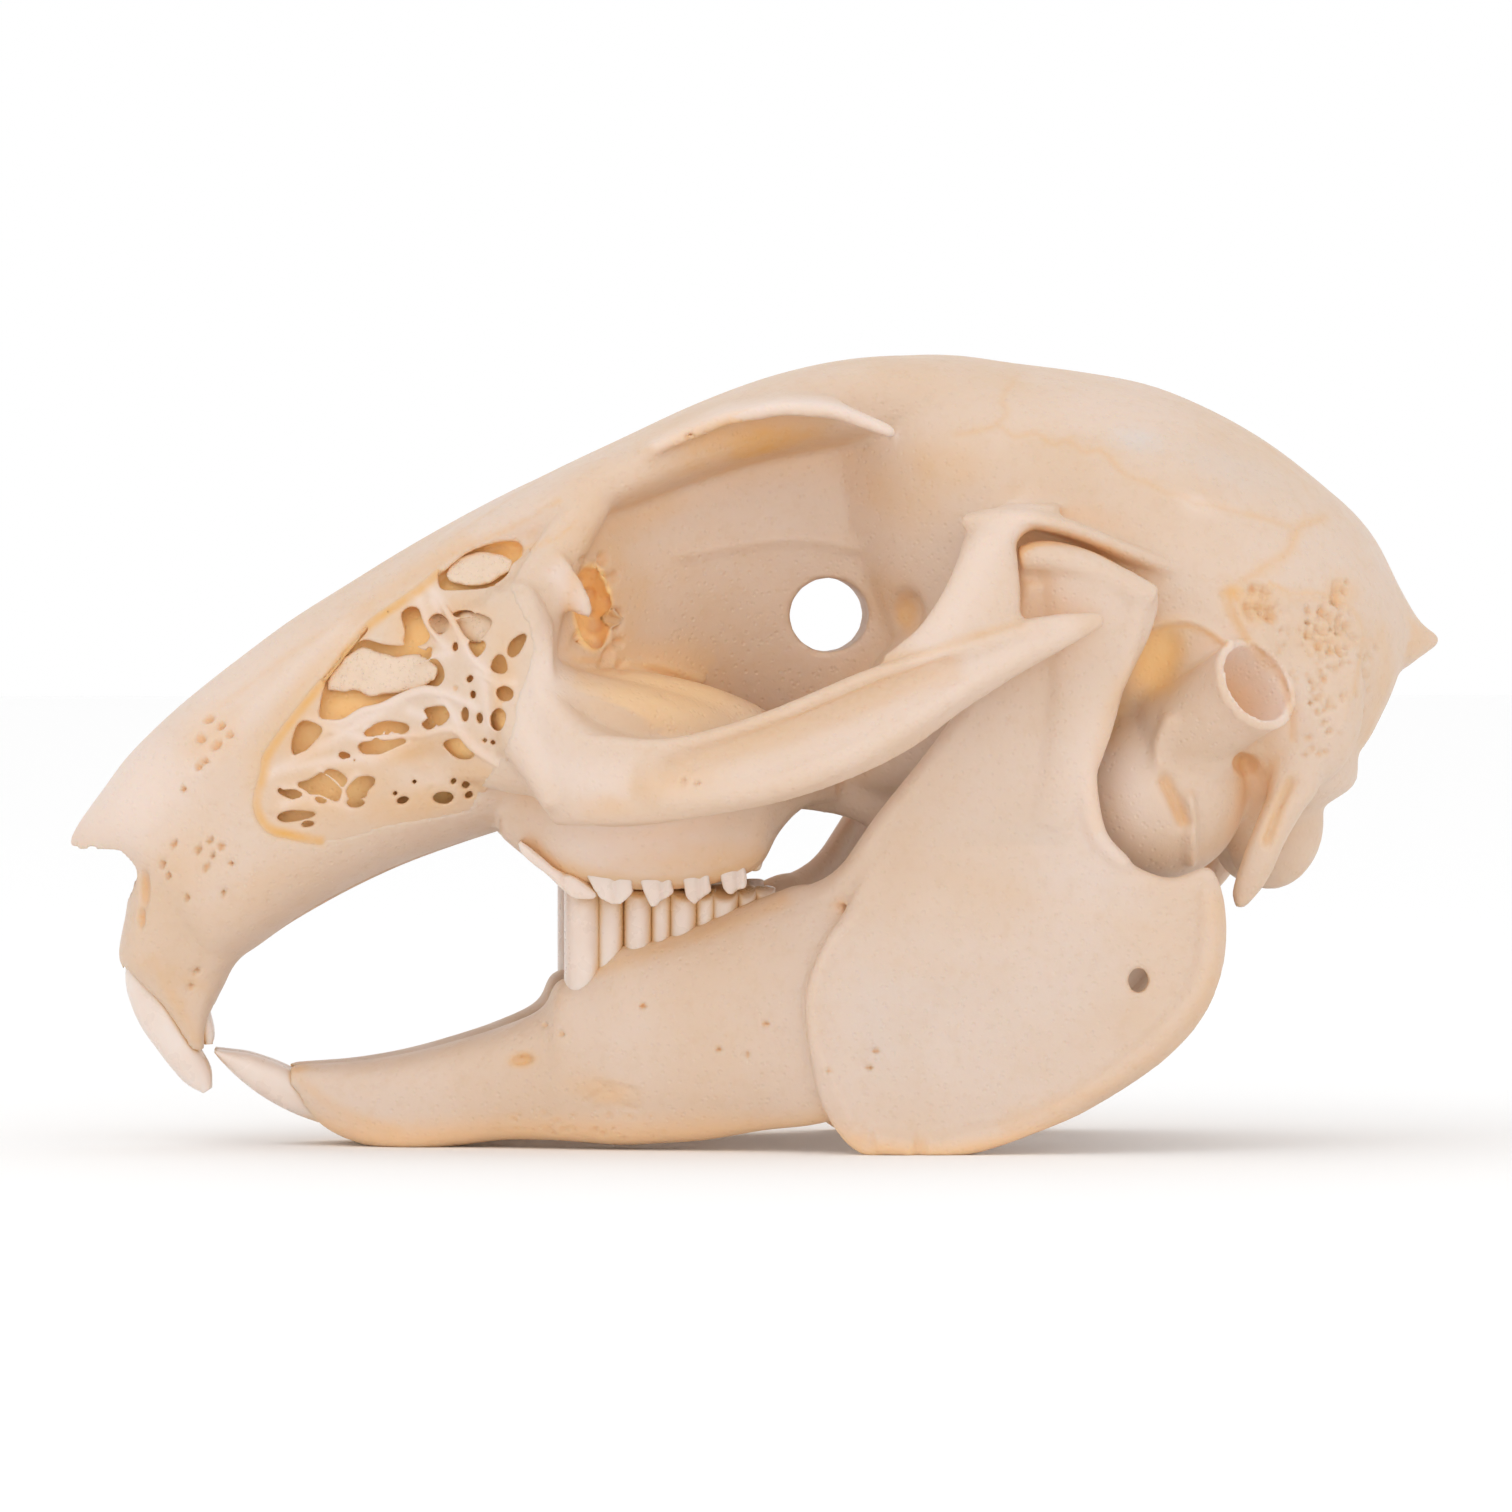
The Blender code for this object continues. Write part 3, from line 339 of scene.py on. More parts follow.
MIDDLE_SHAPES = [
    # Snout
    loft_x([
        (-36.05, 14.4, 15.9, 0.9), (-35.5, 14.8, 16.9, 1.9), (-34.2, 15, 18.7, 3.3, -0.05),
        (-33, 14.6, 20.3, 4.2, -0.08), (-31, 11.8, 22.3, 5, -0.08), (-29, 9.4, 24, 5.6, -0.08),
        (-27, 10, 25.55, 6.1, -0.09), (-24.5, 11.7, 27.4, 6.6, -0.1), (-21.5, 13.4, 29.3, 7.1, -0.12),
        (-18.5, 14.8, 31.15, 7.7, -0.14), (-15.5, 15.9, 32.85, 8.4, -0.14), (-12.5, 16.9, 34.4, 8.9, -0.14),
        (-10, 18, 35.5, 8, -0.1), (-7, 20, 36.8, 5.6), (-3, 21, 37.5, 3.4),
    ], squareness=2.6),
    # Premaxilla
    loft_z([
        (4.9, -29.7, -29.1, 2.5), (6.2, -30.5, -28.95, 2.8), (7.3, -31.3, -28.6, 3.05),
        (8.4, -32.5, -28.05, 3.2), (9.6, -33.35, -27.4, 3.6), (10.8, -33.3, -26, 3.9), (12.3, -33, -24, 4.3),
        (13.8, -32.9, -22, 4.7), (15.4, -32.9, -21, 5), (17, -31, -21, 5.2),
    ], squareness=3.6),
    # Forehead
    loft_x([
        (-20, 27, 30, 4), (-15, 29.5, 33, 6), (-11, 31.4, 35.1, 7.3), (-7, 33.2, 37, 7.6),
        (-3, 34.8, 38.85, 7.2), (1, 36, 40.3, 6.7), (5, 36.6, 41.15, 6.4), (9, 36.6, 41.3, 6),
        (13, 36, 40.7, 5.2), (17, 35, 39.6, 4.2), (20, 34, 38.2, 3.2),
    ], squareness=2.8),
    # Wall between the orbits
    loft_x([
        (-10.5, 21, 35, 6.4, 0.05), (-8, 20.4, 36, 5.6, 0.15), (-5, 19.4, 37.4, 4.5, 0.3),
        (-2, 18.8, 38.6, 3.6, 0.5), (1, 18.5, 39.6, 3.1, 0.6), (4, 18.3, 40.3, 3.1, 0.6),
        (6.5, 18.2, 40.6, 3.8, 0.45), (9, 18.2, 40.8, 5.4, 0.3), (12, 18.2, 40.5, 7.4, 0.15),
    ], squareness=2.2),
    # Braincase
    loft_x([
        (1.5, 33, 39.2, 1.8, 0.1), (3.5, 31, 39.9, 3, 0.1), (5.5, 28, 40.6, 4.8, 0.1),
        (7.5, 24.5, 41.3, 6.8, 0.06), (10.5, 21, 41.35, 8.9, 0.06), (13.5, 19.4, 40.95, 10.2, 0.08),
        (17, 18.8, 40.5, 10.9, 0.08), (20.5, 18.5, 39.85, 11.2, 0.06), (23.5, 18.4, 38.7, 11.3, 0.02),
        (26.5, 18.4, 37.05, 11, -0.02), (29.2, 18.8, 35.05, 10, -0.04), (31.5, 20.2, 32.95, 8.2, -0.06),
        (33, 22.8, 30.7, 6, -0.05), (33.9, 25, 29, 4),
    ], squareness=2.25),
    # Shield on top of the occiput
    loft_x([
        (28, 28, 35.6, 4.2), (30.5, 27, 33.95, 4.4), (32.4, 26.2, 31.9, 4.4), (33.8, 25, 29.2, 4.1),
        (34.9, 25.6, 27.4, 3), (35.95, 26.3, 26.6, 1.2),
    ], squareness=3),
    # Base of the skull
    loft_x([
        (-6.5, 18.6, 22, 2.8), (-2, 18.4, 22, 2.3), (4, 18, 22, 2.4), (9, 17.6, 22, 3.4), (16, 17.2, 21, 3.8),
        (22, 16.6, 20, 3.8), (26.5, 16, 19, 4.8), (28.3, 16.2, 18.5, 4.4),
    ], squareness=2.6),
    # Occiput
    loft_z([
        (15.6, 24, 27, 5.6), (17.6, 23.5, 29.5, 7.4), (18.9, 23.5, 31.3, 8.4), (20.4, 23.5, 31.5, 8.9),
        (22, 23.5, 31.7, 9.2), (24.5, 23.5, 33, 8.6), (27, 23.5, 34.2, 6.4),
    ], squareness=2.7),
    # Palate
    loft_x([
        (-13, 16.9, 18.6, 5.4), (-9, 16.2, 18.2, 5.8), (-6.5, 16, 18, 5.6), (-4.3, 16.5, 18, 5),
    ], squareness=3),
]
LEFT_SHAPES = [
    # Tooth-bearing part of the maxilla
    loft_x([
        (-13.6, 16.4, 22, 1.4, 0.1, 1), (-12.4, 15.4, 24, 2, 0.1, 0.8), (-11.2, 14.5, 24.6, 2.5, 0.1, 0.5),
        (-9.5, 13.9, 24.9, 2.9, 0.1, 0.1), (-7, 13.65, 24.9, 2.8, 0.05), (-4.5, 13.65, 24.5, 2.8, 0.05),
        (-2.3, 14, 23.9, 2.7, 0.05), (-0.2, 14.8, 23, 2.4, 0, 0.1), (0.9, 16.6, 22.2, 1.9, 0, 0.6),
        (2.3, 17.9, 21.6, 1.4, 0, 1.6), (4, 18.2, 21.5, 1.2, 0, 2.6),
    ], y=-6.6, squareness=3.4),
    # Shelf of the maxilla that carries the front of the arch out from the tooth row
    loft_x([
        (-12.6, 19.6, 24.5, 2, 0, 1.2), (-11.2, 17.8, 24.2, 3.2, 0, 0.5), (-9, 17.1, 22.4, 4),
        (-6.5, 17.1, 21.5, 4.2), (-4, 17.5, 21.3, 4), (-2, 18.3, 21.2, 2.6, 0, -1.2),
        (-0.8, 19.2, 21, 1.2, 0, -2.6),
    ], y=-11, squareness=2.8),
    # Slope from the rim of the arch up over the roots of the cheek teeth
    loft_x([
        (-12, 20, 26, 3.4, 0, -0.9), (-9.5, 19, 24.9, 3.8, 0, -0.4), (-6.5, 19, 24.2, 3.8),
        (-3.5, 19, 23.5, 3.2, 0, 0.6), (-0.5, 19, 22.8, 2.2, 0, 1.8),
    ], y=-8.4),
    # Side of the maxilla, which swells outwards from the snout to the front rim of the orbit
    loft_x([
        (-18, 20, 25.5, 0.9, 0, 1), (-16, 19.4, 27.5, 1.6, 0, 0.2), (-14, 18.9, 29, 2.2, 0, -0.7),
        (-12.3, 18.6, 29.5, 2.4, 0, -1.5), (-11, 18.6, 27.5, 2.2, 0, -1.9),
    ], y=-8.2),
    # Front rim of the orbit
    sweep([
        (-7.6, -6.2, 35.6, 0.9, 0.9), (-9.1, -7.2, 33.3, 1.1, 0.9), (-10.9, -8, 30.5, 1.4, 1.1),
        (-12.2, -9, 27.5, 1.7, 1.3), (-12.6, -10.2, 24.8, 1.8, 1.5), (-12.3, -11.4, 22, 1.7, 1.5),
        (-11.5, -12.6, 19.8, 1.1, 1.2), (-10.9, -13.4, 17.9, 0.6, 0.8),
    ], up=(0, -1, 0)),
    lacrimal_spine(),
    # Arch: the cheek bone from the maxilla back to its free end below the jaw joint
    sweep([
        (-10.9, -12.6, 19.3, 0.7, 2.3), (-9.4, -14, 19.2, 0.95, 2.15), (-6.5, -15.3, 19.25, 0.95, 2.1),
        (-3, -16.1, 19.85, 0.9, 2.2), (0, -16.4, 20.6, 0.85, 2.35), (3, -16.5, 21.7, 0.8, 2.45),
        (6, -16.5, 23.05, 0.8, 2.35), (9, -16.3, 24.6, 0.75, 1.85), (12, -16.1, 26, 0.75, 1.4),
        (14.5, -15.8, 26.95, 0.7, 1), (17.1, -15.5, 27.7, 0.45, 0.4),
    ], squareness=2.6),
    # Squamosal plate, which comes down from the side of the braincase to meet the arch
    loft_z([
        (25.6, 5.6, 11.4, 0.55, -1.1), (27.2, 7.6, 12.6, 0.7, -0.9), (29, 8.9, 12.8, 0.8, -0.6),
        (30.6, 9.7, 12.7, 1, 0.2), (31.8, 10.2, 12.8, 1.8, 1.4), (32.8, 11, 14.5, 2.6, 3),
        (33.6, 12.5, 15.5, 2.4, 4.6),
    ], y=-14.8, squareness=2.6),
    # Roof of the jaw joint, a ridge along the side of the braincase
    sweep([
        (10.8, -11.6, 32.6, 2.6, 0.6), (12.8, -12.4, 32.9, 2.6, 0.55), (15.2, -12.3, 32.4, 2.2, 0.5),
        (18, -11.7, 31.3, 1.5, 0.5), (20.5, -10.9, 30.4, 0.9, 0.5), (22.5, -10, 29.9, 0.5, 0.4),
    ]),
    brow(),
    # Bulla, the swelling above it, and the mastoid
    blob((20.7, -7.7, 18.7), (4.5, 3.5, 4.7), lean=8),
    blob((22.6, -8.6, 22.2), (3.4, 3.1, 4.2), lean=25),
    blob((27.2, -8.1, 24.5), (4.0, 2.8, 5.8), lean=-14, turn=-14),
    # Ear tube
    sweep([
        (21.6, -8.8, 21.6, 2.6, 2.6), (23.4, -10.6, 22.95, 2.5, 2.5), (24.8, -12.1, 24, 2.5, 2.5),
        (25.35, -12.8, 24.4, 2.7, 2.7),
    ], up=(-0.6, 0, 0.8), squareness=2),
    # Paroccipital process
    loft_z([
        (12.6, 24.45, 24.85, 0.25), (13.6, 24.4, 25.7, 0.5), (14.6, 24.7, 26.3, 0.7), (16, 25.2, 26.9, 0.9),
        (17.7, 25.9, 27.9, 1.1, 0.2), (18.8, 26.3, 28.7, 1.3, 0.5), (21.5, 26.4, 29.5, 1.6, 0.9),
    ], y=-9.7, squareness=2.6),
    # Condyle that the neck bears on
    blob((27.0, -4.4, 16.7), (2.6, 1.9, 3.3), lean=12, turn=12),
    # Pterygoid plate
    loft_x([
        (0.5, 17.9, 20.5, 0.8), (4.5, 17.3, 20.5, 0.8), (7, 16, 20.5, 0.65, 0, -0.2),
        (9, 15.6, 20.5, 0.6, 0, -0.3), (10.8, 17.4, 20.5, 0.6, 0, -0.3),
    ], y=-3.6, squareness=2.4, sides=12),
    # Side wall of the sphenoid, from the septum out to the front of the braincase
    loft_x([
        (4.5, 18.6, 23.5, 1.2, 0, 2), (7.5, 18.6, 27, 2.4, 0, 0.8), (10.5, 18.6, 31, 3.8),
        (14, 18.6, 32, 4.4),
    ], y=-5.4),
    # The two rounded bars along the outside of the arch, with a groove between them
    sweep([
        (-9.8, -14, 21.2, 0.7, 0.7), (-5, -15.9, 21, 0.65, 0.65), (0, -17, 22.4, 0.65, 0.65),
        (5, -17.1, 24.5, 0.65, 0.65), (10, -16.7, 26.2, 0.6, 0.6), (14, -16.2, 27.4, 0.5, 0.5),
    ]),
    sweep([
        (-9.8, -14, 18, 0.7, 0.7), (-5, -15.9, 18.4, 0.75, 0.75), (0, -17, 19.2, 0.75, 0.75),
        (5, -17.1, 21.2, 0.7, 0.75), (10, -16.7, 24.3, 0.65, 0.65), (14, -16.2, 26.5, 0.5, 0.5),
    ]),
]
MIDDLE_HOLLOWS = [
    # Nose
    loft_x([
        (-38, 12.6, 15.3, 2.2), (-35.4, 12.7, 15.7, 2.3), (-33.6, 12.9, 17.8, 3.1), (-31.5, 13.2, 20.8, 3.7),
        (-28, 13.2, 23.4, 4), (-24, 15.2, 26, 3.2), (-19, 17.2, 28.6, 3),
    ], squareness=3.2, sides=12, steps=1),
    # Foramen magnum, out through the back of the skull
    sweep([
        (24, 0, 21.6, 3.7, 3.3), (28.5, 0, 21.1, 3.7, 3.4), (33, 0, 20.4, 3.9, 3.5),
    ], sides=14, steps=1),
    # Optic foramen, open right through the wall between the orbits
    sweep([
        (3.7, -6, 27.8, 2.08, 1.97), (3.7, 6, 27.8, 2.08, 1.97),
    ], squareness=2, sides=16, steps=1),
    # Throat: the passage behind the palate, between the tooth rows
    loft_x([
        (-9, 18.6, 21.5, 1.6), (-4, 17.6, 21.8, 2.2), (0, 15, 20.2, 2.4), (5, 14, 19.2, 2.5),
        (11, 13, 18.4, 2.4),
    ], squareness=2.6, sides=12, steps=1),
]
LEFT_HOLLOWS = [
    # One of the pair of long slots in the front of the palate
    loft_z([
        (9, -25.5, -12, 1), (14.5, -25.5, -12, 1), (19, -23.5, -12, 1.1),
    ], y=-1.6, squareness=2.4, sides=8, steps=1),
    # Ear hole
    sweep([
        (23.3, -10.4, 22.9, 1.2, 1.2), (24.2, -11.4, 23.6, 1.75, 1.75), (24.9, -12.25, 24.1, 2.1, 2.1),
        (26.4, -14.1, 25.2, 2.3, 2.3),
    ], up=(-0.6, 0, 0.8), squareness=2, sides=14, steps=1),
    blob(LACRIMAL_HOLLOW, (1.0, 2.0, 2.1), lean=-8),
]


# Lower jaw

RAMUS_OUTLINE = [
    (2.2, 9), (2.2, 6), (2.6, 3.2), (3.6, 1.2), (4.9, 0), (6.6, -0.4), (8.8, -0.4), (11, 0.15), (13.5, 0.95),
    (16.5, 2.2), (20.2, 4.55), (22.4, 6.8), (23.5, 9.2), (23.8, 11.4), (23.6, 13.5), (22.9, 14.9), (22, 14.6),
    (20.9, 14.3), (19.6, 14.65), (18.2, 15.5), (17.3, 16.8), (17, 18.8), (17.2, 21), (17.8, 23.2),
    (18.9, 25.1), (19.8, 27), (20.1, 29), (18.3, 30.2), (16, 31), (13.6, 31.3), (12.8, 30.2), (12.8, 28.6),
    (11.8, 26), (9.6, 22), (7.3, 18.2), (5.4, 15.4), (4.2, 13),
]


def ramus_bend(x, z):
    """The plate leans out towards the jaw joint."""
    return -12.0 - 0.08 * np.clip(z - 16, 0, None)


JAW_SHAPES = [
    # Body
    loft_x([
        (-24.6, 3, 4.1, 0.9, 0, 5.5), (-23, 1.25, 4.2, 1.5, 0, 5.3), (-21, 0.25, 4.35, 1.95, 0, 5),
        (-18.5, -0.2, 4.75, 2.3, 0, 4.55), (-16, 0.1, 5.4, 2.4, 0, 4.2), (-13.5, 0.45, 6.2, 2.5, 0, 3.5),
        (-11.4, 0.5, 7.2, 2.6, 0, 2.6), (-10.6, 0.5, 8.6, 2.7, 0, 2.1), (-9, 0.4, 9.2, 2.8, 0, 1.6),
        (-7.4, 0.3, 10.5, 2.8, 0, 1.1), (-5.5, 0.4, 10.9, 2.8, 0, 0.7), (-3, 0.6, 11.8, 2.8, 0, 0.1),
        (0, 1.15, 13.1, 2.5, 0, -0.9), (2.5, 1.5, 13.8, 2, 0, -2.4), (5, 2.2, 12, 1.4, 0, -3.8),
    ], y=-7.1, squareness=2.6),
    # Ramus, the plate that rises behind the teeth
    plate(RAMUS_OUTLINE, 0.5, ramus_bend),
    # Thickened border round the back of the plate
    sweep([
        (5.5, -12.1, 0.8, 0.9, 0.7), (9, -12.1, 0.5, 0.9, 0.8), (14, -12.1, 1.9, 0.9, 0.7),
        (19, -12.1, 4.9, 0.9, 0.8), (22.2, -12, 8.4, 1, 0.8), (22.9, -12, 11.5, 1, 0.8),
        (22.7, -12, 13.9, 0.8, 0.6),
    ], up=(1, 0, 0)),
    # Back edge
    sweep([
        (18.6, -12.2, 14.9, 0.6, 0.4), (17, -12.3, 16.6, 0.7, 0.55), (16.4, -12.5, 20, 0.75, 0.65),
        (17, -12.7, 22.6, 0.75, 0.65), (18.3, -13, 25.4, 0.75, 0.65), (19.1, -13.1, 28.4, 0.8, 0.7),
    ], up=(1, 0, 0)),
    # Front edge
    sweep([
        (1, -8.6, 12, 1.3, 1), (4, -10.9, 13.9, 1, 0.8), (6.15, -11.7, 17.2, 0.95, 0.6),
        (9.8, -12.1, 21.9, 0.9, 0.6), (12.4, -12.5, 26.4, 0.9, 0.6), (13.6, -13, 29.6, 1, 0.7),
    ], up=(1, 0, 0)),
    # Thick middle of the plate below the joint, which fades out downwards
    sweep([
        (16.4, -13.3, 30, 1.1, 2.4), (16.6, -13, 26.5, 1, 2.2), (16, -12.6, 22, 0.9, 1.8),
        (14.6, -12.2, 17, 0.6, 1.2),
    ], up=(1, 0, 0)),
    # Head of the jaw joint
    sweep([
        (12.9, -13.6, 30.7, 0.9, 0.7), (14.2, -13.6, 30.9, 1.2, 0.85), (16.2, -13.5, 30.4, 1.2, 0.9),
        (18.2, -13.3, 29.5, 1, 0.8), (19.9, -13.2, 28.7, 0.8, 0.7),
    ]),
]


# Teeth. Those of a row are listed from the front, on the left side.

UPPER_ROW = [  # outline in side view, y, half width, x of the groove between its lobes
    ([(-12.7, 16.2), (-11.4, 15.2), (-10.7, 14.6), (-9.75, 14.2), (-8.9, 13.5), (-8.6, 13.15), (-8.95, 12.98),
      (-9.5, 13), (-9.95, 13.05), (-10.6, 13.65), (-11.3, 14.4), (-12.5, 15.4)], -6.95, 1.6, -10.3),
    ([(-9.5, 15.4), (-9.08, 14.02), (-8.55, 13.07), (-7.95, 12.72), (-7.53, 12.66), (-7.1, 12.93),
      (-6.73, 13.43), (-6.85, 13.75), (-6.8, 15.4)], -6.75, 1.75, -7.75),
    ([(-6.5, 15.4), (-6.36, 13.79), (-6.06, 12.95), (-5.78, 12.48), (-5.33, 12.88), (-4.65, 13.3),
      (-4.78, 13.85), (-4.75, 15.4)], -6.8, 1.75, -5.27),
    ([(-4.4, 15.4), (-4.16, 13.85), (-4.02, 13.07), (-3.6, 12.68), (-3.18, 13.05), (-2.7, 13.43),
      (-2.82, 14.02), (-2.8, 15.4)], -6.8, 1.75, -3.33),
    ([(-2.6, 15.8), (-2.3, 14.4), (-2.07, 13.4), (-1.63, 13.06), (-1.36, 13.43), (-1.08, 13.42),
      (-0.83, 13.7), (-0.98, 15.1), (-1, 15.8)], -6.75, 1.65, -1.34),
    ([(-0.9, 15.6), (-0.85, 14.7), (-0.6, 14.25), (-0.3, 14.2), (-0.08, 14.5), (0, 15.6)], -6.5, 0.95, -0.45),
]
LOWER_ROW = [  # columns as (x, y, half length, half width)
    [(-9.3, -5.8, 0.98, 1.5), (-7.9, -5.8, 0.76, 1.45)],
    [(-6.45, -6, 0.78, 1.55), (-5.25, -6.05, 0.6, 1.45)],
    [(-4.1, -6.25, 0.78, 1.55), (-2.95, -6.3, 0.58, 1.45)],
    [(-1.95, -6.4, 0.78, 1.5), (-0.8, -6.4, 0.54, 1.35)],
    [(0.15, -6.5, 0.58, 1)],
]
LOWER_ROOT = 6.0
BITE_LEVEL = 12.6  # at the outer edge of the upper teeth
UPPER_INCISOR = [  # x, y, z, half width, half thickness
    (-31.4, -1.35, 11.5, 0.95, 0.8), (-31.9, -1.35, 10.3, 1.05, 0.95), (-32.1, -1.35, 8.7, 1.1, 1.05),
    (-31.5, -1.35, 7, 1.1, 1.1), (-30.6, -1.35, 5.5, 1.1, 1), (-29.95, -1.35, 4.5, 1.1, 0.9),
    (-29.3, -1.35, 3.6, 1.05, 0.75), (-28.85, -1.35, 2.9, 0.9, 0.3),
]
PEG_INCISOR = [
    (-29.65, -1.25, 9, 0.5, 0.4), (-29.2, -1.25, 7.2, 0.6, 0.42), (-28.85, -1.25, 5.9, 0.6, 0.38),
    (-28.8, -1.25, 5.3, 0.5, 0.22),
]
LOWER_INCISOR = [
    (-19.5, -1.35, 2.2, 0.95, 0.8), (-21.5, -1.35, 1.85, 1.05, 0.95), (-23.5, -1.35, 2.4, 1.1, 1),
    (-25.3, -1.35, 3.3, 1.1, 1), (-26.8, -1.35, 4.1, 1.05, 0.75), (-27.9, -1.35, 4.65, 0.95, 0.35),
    (-28.45, -1.35, 4.95, 0.8, 0.1),
]


def bite(y):
    """How far the biting face rises inwards from the outer edge of the upper teeth."""
    return 0.7 * np.clip(y + 8.6, 0, 1.6) + 0.12 * np.clip(y + 7.0, 0, None)


def upper_tooth(outline, y, half):
    points, faces = plate(outline, half, lambda x, z: y, smooth=2, voxel=TOOTH_VOXEL)
    points[:, 2] += bite(points[:, 1]) * np.clip((14.8 - points[:, 2]) / 2, 0, 1)
    return points, faces


def tooth_column(x, y, long, wide, sides=28):
    """One lobe of a lower tooth, rounded, with a biting face that fits under the upper ones."""
    along, across = unit_ring(2.5, sides)
    along, across = along * long, across * wide
    rings = []
    for level in (LOWER_ROOT, 8.0, 10.0, 12.0):
        rings.append(np.stack([x + along, y + across, np.full(sides, level)], axis=1))
    for size, drop in ((1, 0.3), (0.96, 0.2), (0.85, 0.16)):
        top = BITE_LEVEL + bite(y + across * size) - drop
        rings.append(np.stack([x + along * size, y + across * size, top], axis=1))
    return skin(rings)


def incisor(path, squareness=2.6, sides=28):
    return sweep(path, up=(-1, 0, 1), squareness=squareness, sides=sides, steps=6)


def hollow_round(rows):
    """The rows of a front tooth, made larger by the gap that its socket leaves."""
    return [(x, y, z, wide + TOOTH_GAP, thick + TOOTH_GAP) for x, y, z, wide, thick in rows]


def shared_socket(rows):
    """One hollow for the roots of a pair of upper front teeth, across the middle of the skull."""
    rows = [(x, 0, z, abs(y) + wide, thick) for x, y, z, wide, thick in hollow_round(rows)]
    return incisor(rows, squareness=4, sides=12)


# Each socket goes on a little beyond the root of its tooth.
UPPER_SOCKETS = [
    shared_socket([(-31.2, -1.35, 12.0, 0.9, 0.7), *UPPER_INCISOR]),
    shared_socket([(-29.85, -1.25, 9.7, 0.45, 0.35), *PEG_INCISOR, (-28.8, -1.25, 4.0, 0.5, 0.22)]),
]
JAW_HOLLOWS = [
    incisor(hollow_round([(-18.6, -1.35, 2.4, 0.9, 0.7), *LOWER_INCISOR[:5]]), sides=12),
    # Small hole through the plate near the angle of the jaw
    sweep([(19.2, -14.5, 9.0, 0.55, 0.68), (19.2, -9.5, 9.0, 0.55, 0.68)], squareness=2, sides=10, steps=1),
    # Everything below the surface that the jaw rests on
    skin([[(x, y, z) for x, y in ((-40, -30), (40, -30), (40, 30), (-40, 30))] for z in (-8, 0)]),
]


# Fine relief, drawn in side view and cut into both sides


def path_distance(x, z, path):
    """The distance of each point from a path in side view."""
    nearest = np.full(len(x), np.inf)
    for (ax, az), (bx, bz) in zip(path[:-1], path[1:]):
        dx, dz = bx - ax, bz - az
        t = np.clip(((x - ax) * dx + (z - az) * dz) / (dx * dx + dz * dz), 0, 1)
        nearest = np.minimum(nearest, np.hypot(x - ax - t * dx, z - az - t * dz))
    return nearest


def stroke_weight(points, path, width, near, far):
    """How much a soft line of this half width covers each point, from 0 to 1."""
    path = np.array(path, float)
    if len(path) > 2:
        path = spline(path, 3)
    x, side, z = points[:, 0], abs(points[:, 1]), points[:, 2]
    reach = 3 * width
    low, high = path.min(axis=0) - reach, path.max(axis=0) + reach
    close = (x > low[0]) & (x < high[0]) & (z > low[1]) & (z < high[1]) & (side > near) & (side < far)
    weight = np.zeros(len(points))
    weight[close] = np.exp(-((path_distance(x[close], z[close], path) / width) ** 2))
    return weight


def spot_weight(points, spot, near, far):
    """How much a soft oval spot (x, z, half length, half height, tilt) covers each point."""
    x, z, long, high, tilt = spot
    side = abs(points[:, 1])
    reach = 3 * max(long, high)
    close = (abs(points[:, 0] - x) < reach) & (abs(points[:, 2] - z) < reach)
    close &= (side > near) & (side < far)
    weight = np.zeros(len(points))
    turn = math.radians(tilt)
    dx, dz = points[close, 0] - x, points[close, 2] - z
    along = (dx * math.cos(turn) + dz * math.sin(turn)) / long
    across = (dz * math.cos(turn) - dx * math.sin(turn)) / high
    weight[close] = np.exp(-((along**2 + across**2) ** 1.5))
    return weight


def carve(obj, strokes, spots=()):
    """Moves the surface along its normals: a positive height raises it, and a negative one digs."""
    points, normals = points_and_normals(obj.data)
    outward = normals[:, 1] * np.sign(points[:, 1])
    facing = np.clip(outward * 3, 0, 1)
    rise = np.zeros(len(points))
    for path, width, height, near, far in strokes:
        rise += height * stroke_weight(points, path, width, near, far)
    for spot, height, near, far in spots:
        rise += height * spot_weight(points, spot, near, far)
    points += normals * (rise * facing)[:, None]
    obj.data.vertices.foreach_set("co", points.ravel())
    obj.data.update()


def inside(x, z, corners):
    """Whether each point is inside a polygon."""
    corners = np.array(corners, float)
    found = np.zeros(np.shape(x), bool)
    for (ax, az), (bx, bz) in zip(corners, np.roll(corners, -1, axis=0)):
        if az != bz:
            found ^= ((az > z) != (bz > z)) & (x < (bx - ax) * (z - az) / (bz - az) + ax)
    return found


def scattered(seed, count, region, sizes, height, near, far):
    """Small oval pits strewn over a region, which is a path's four or more corners in side view."""
    random = np.random.default_rng(seed)
    corners = np.array(region, float)
    low, high = corners.min(axis=0), corners.max(axis=0)
    pits = []
    while len(pits) < count:
        x, z = random.uniform(low, high)
        if inside(x, z, corners):
            long = random.uniform(*sizes)
            pit = (x, z, long, long * random.uniform(0.6, 1), random.uniform(0, 180))
            pits.append((pit, height, near, far))
    return pits


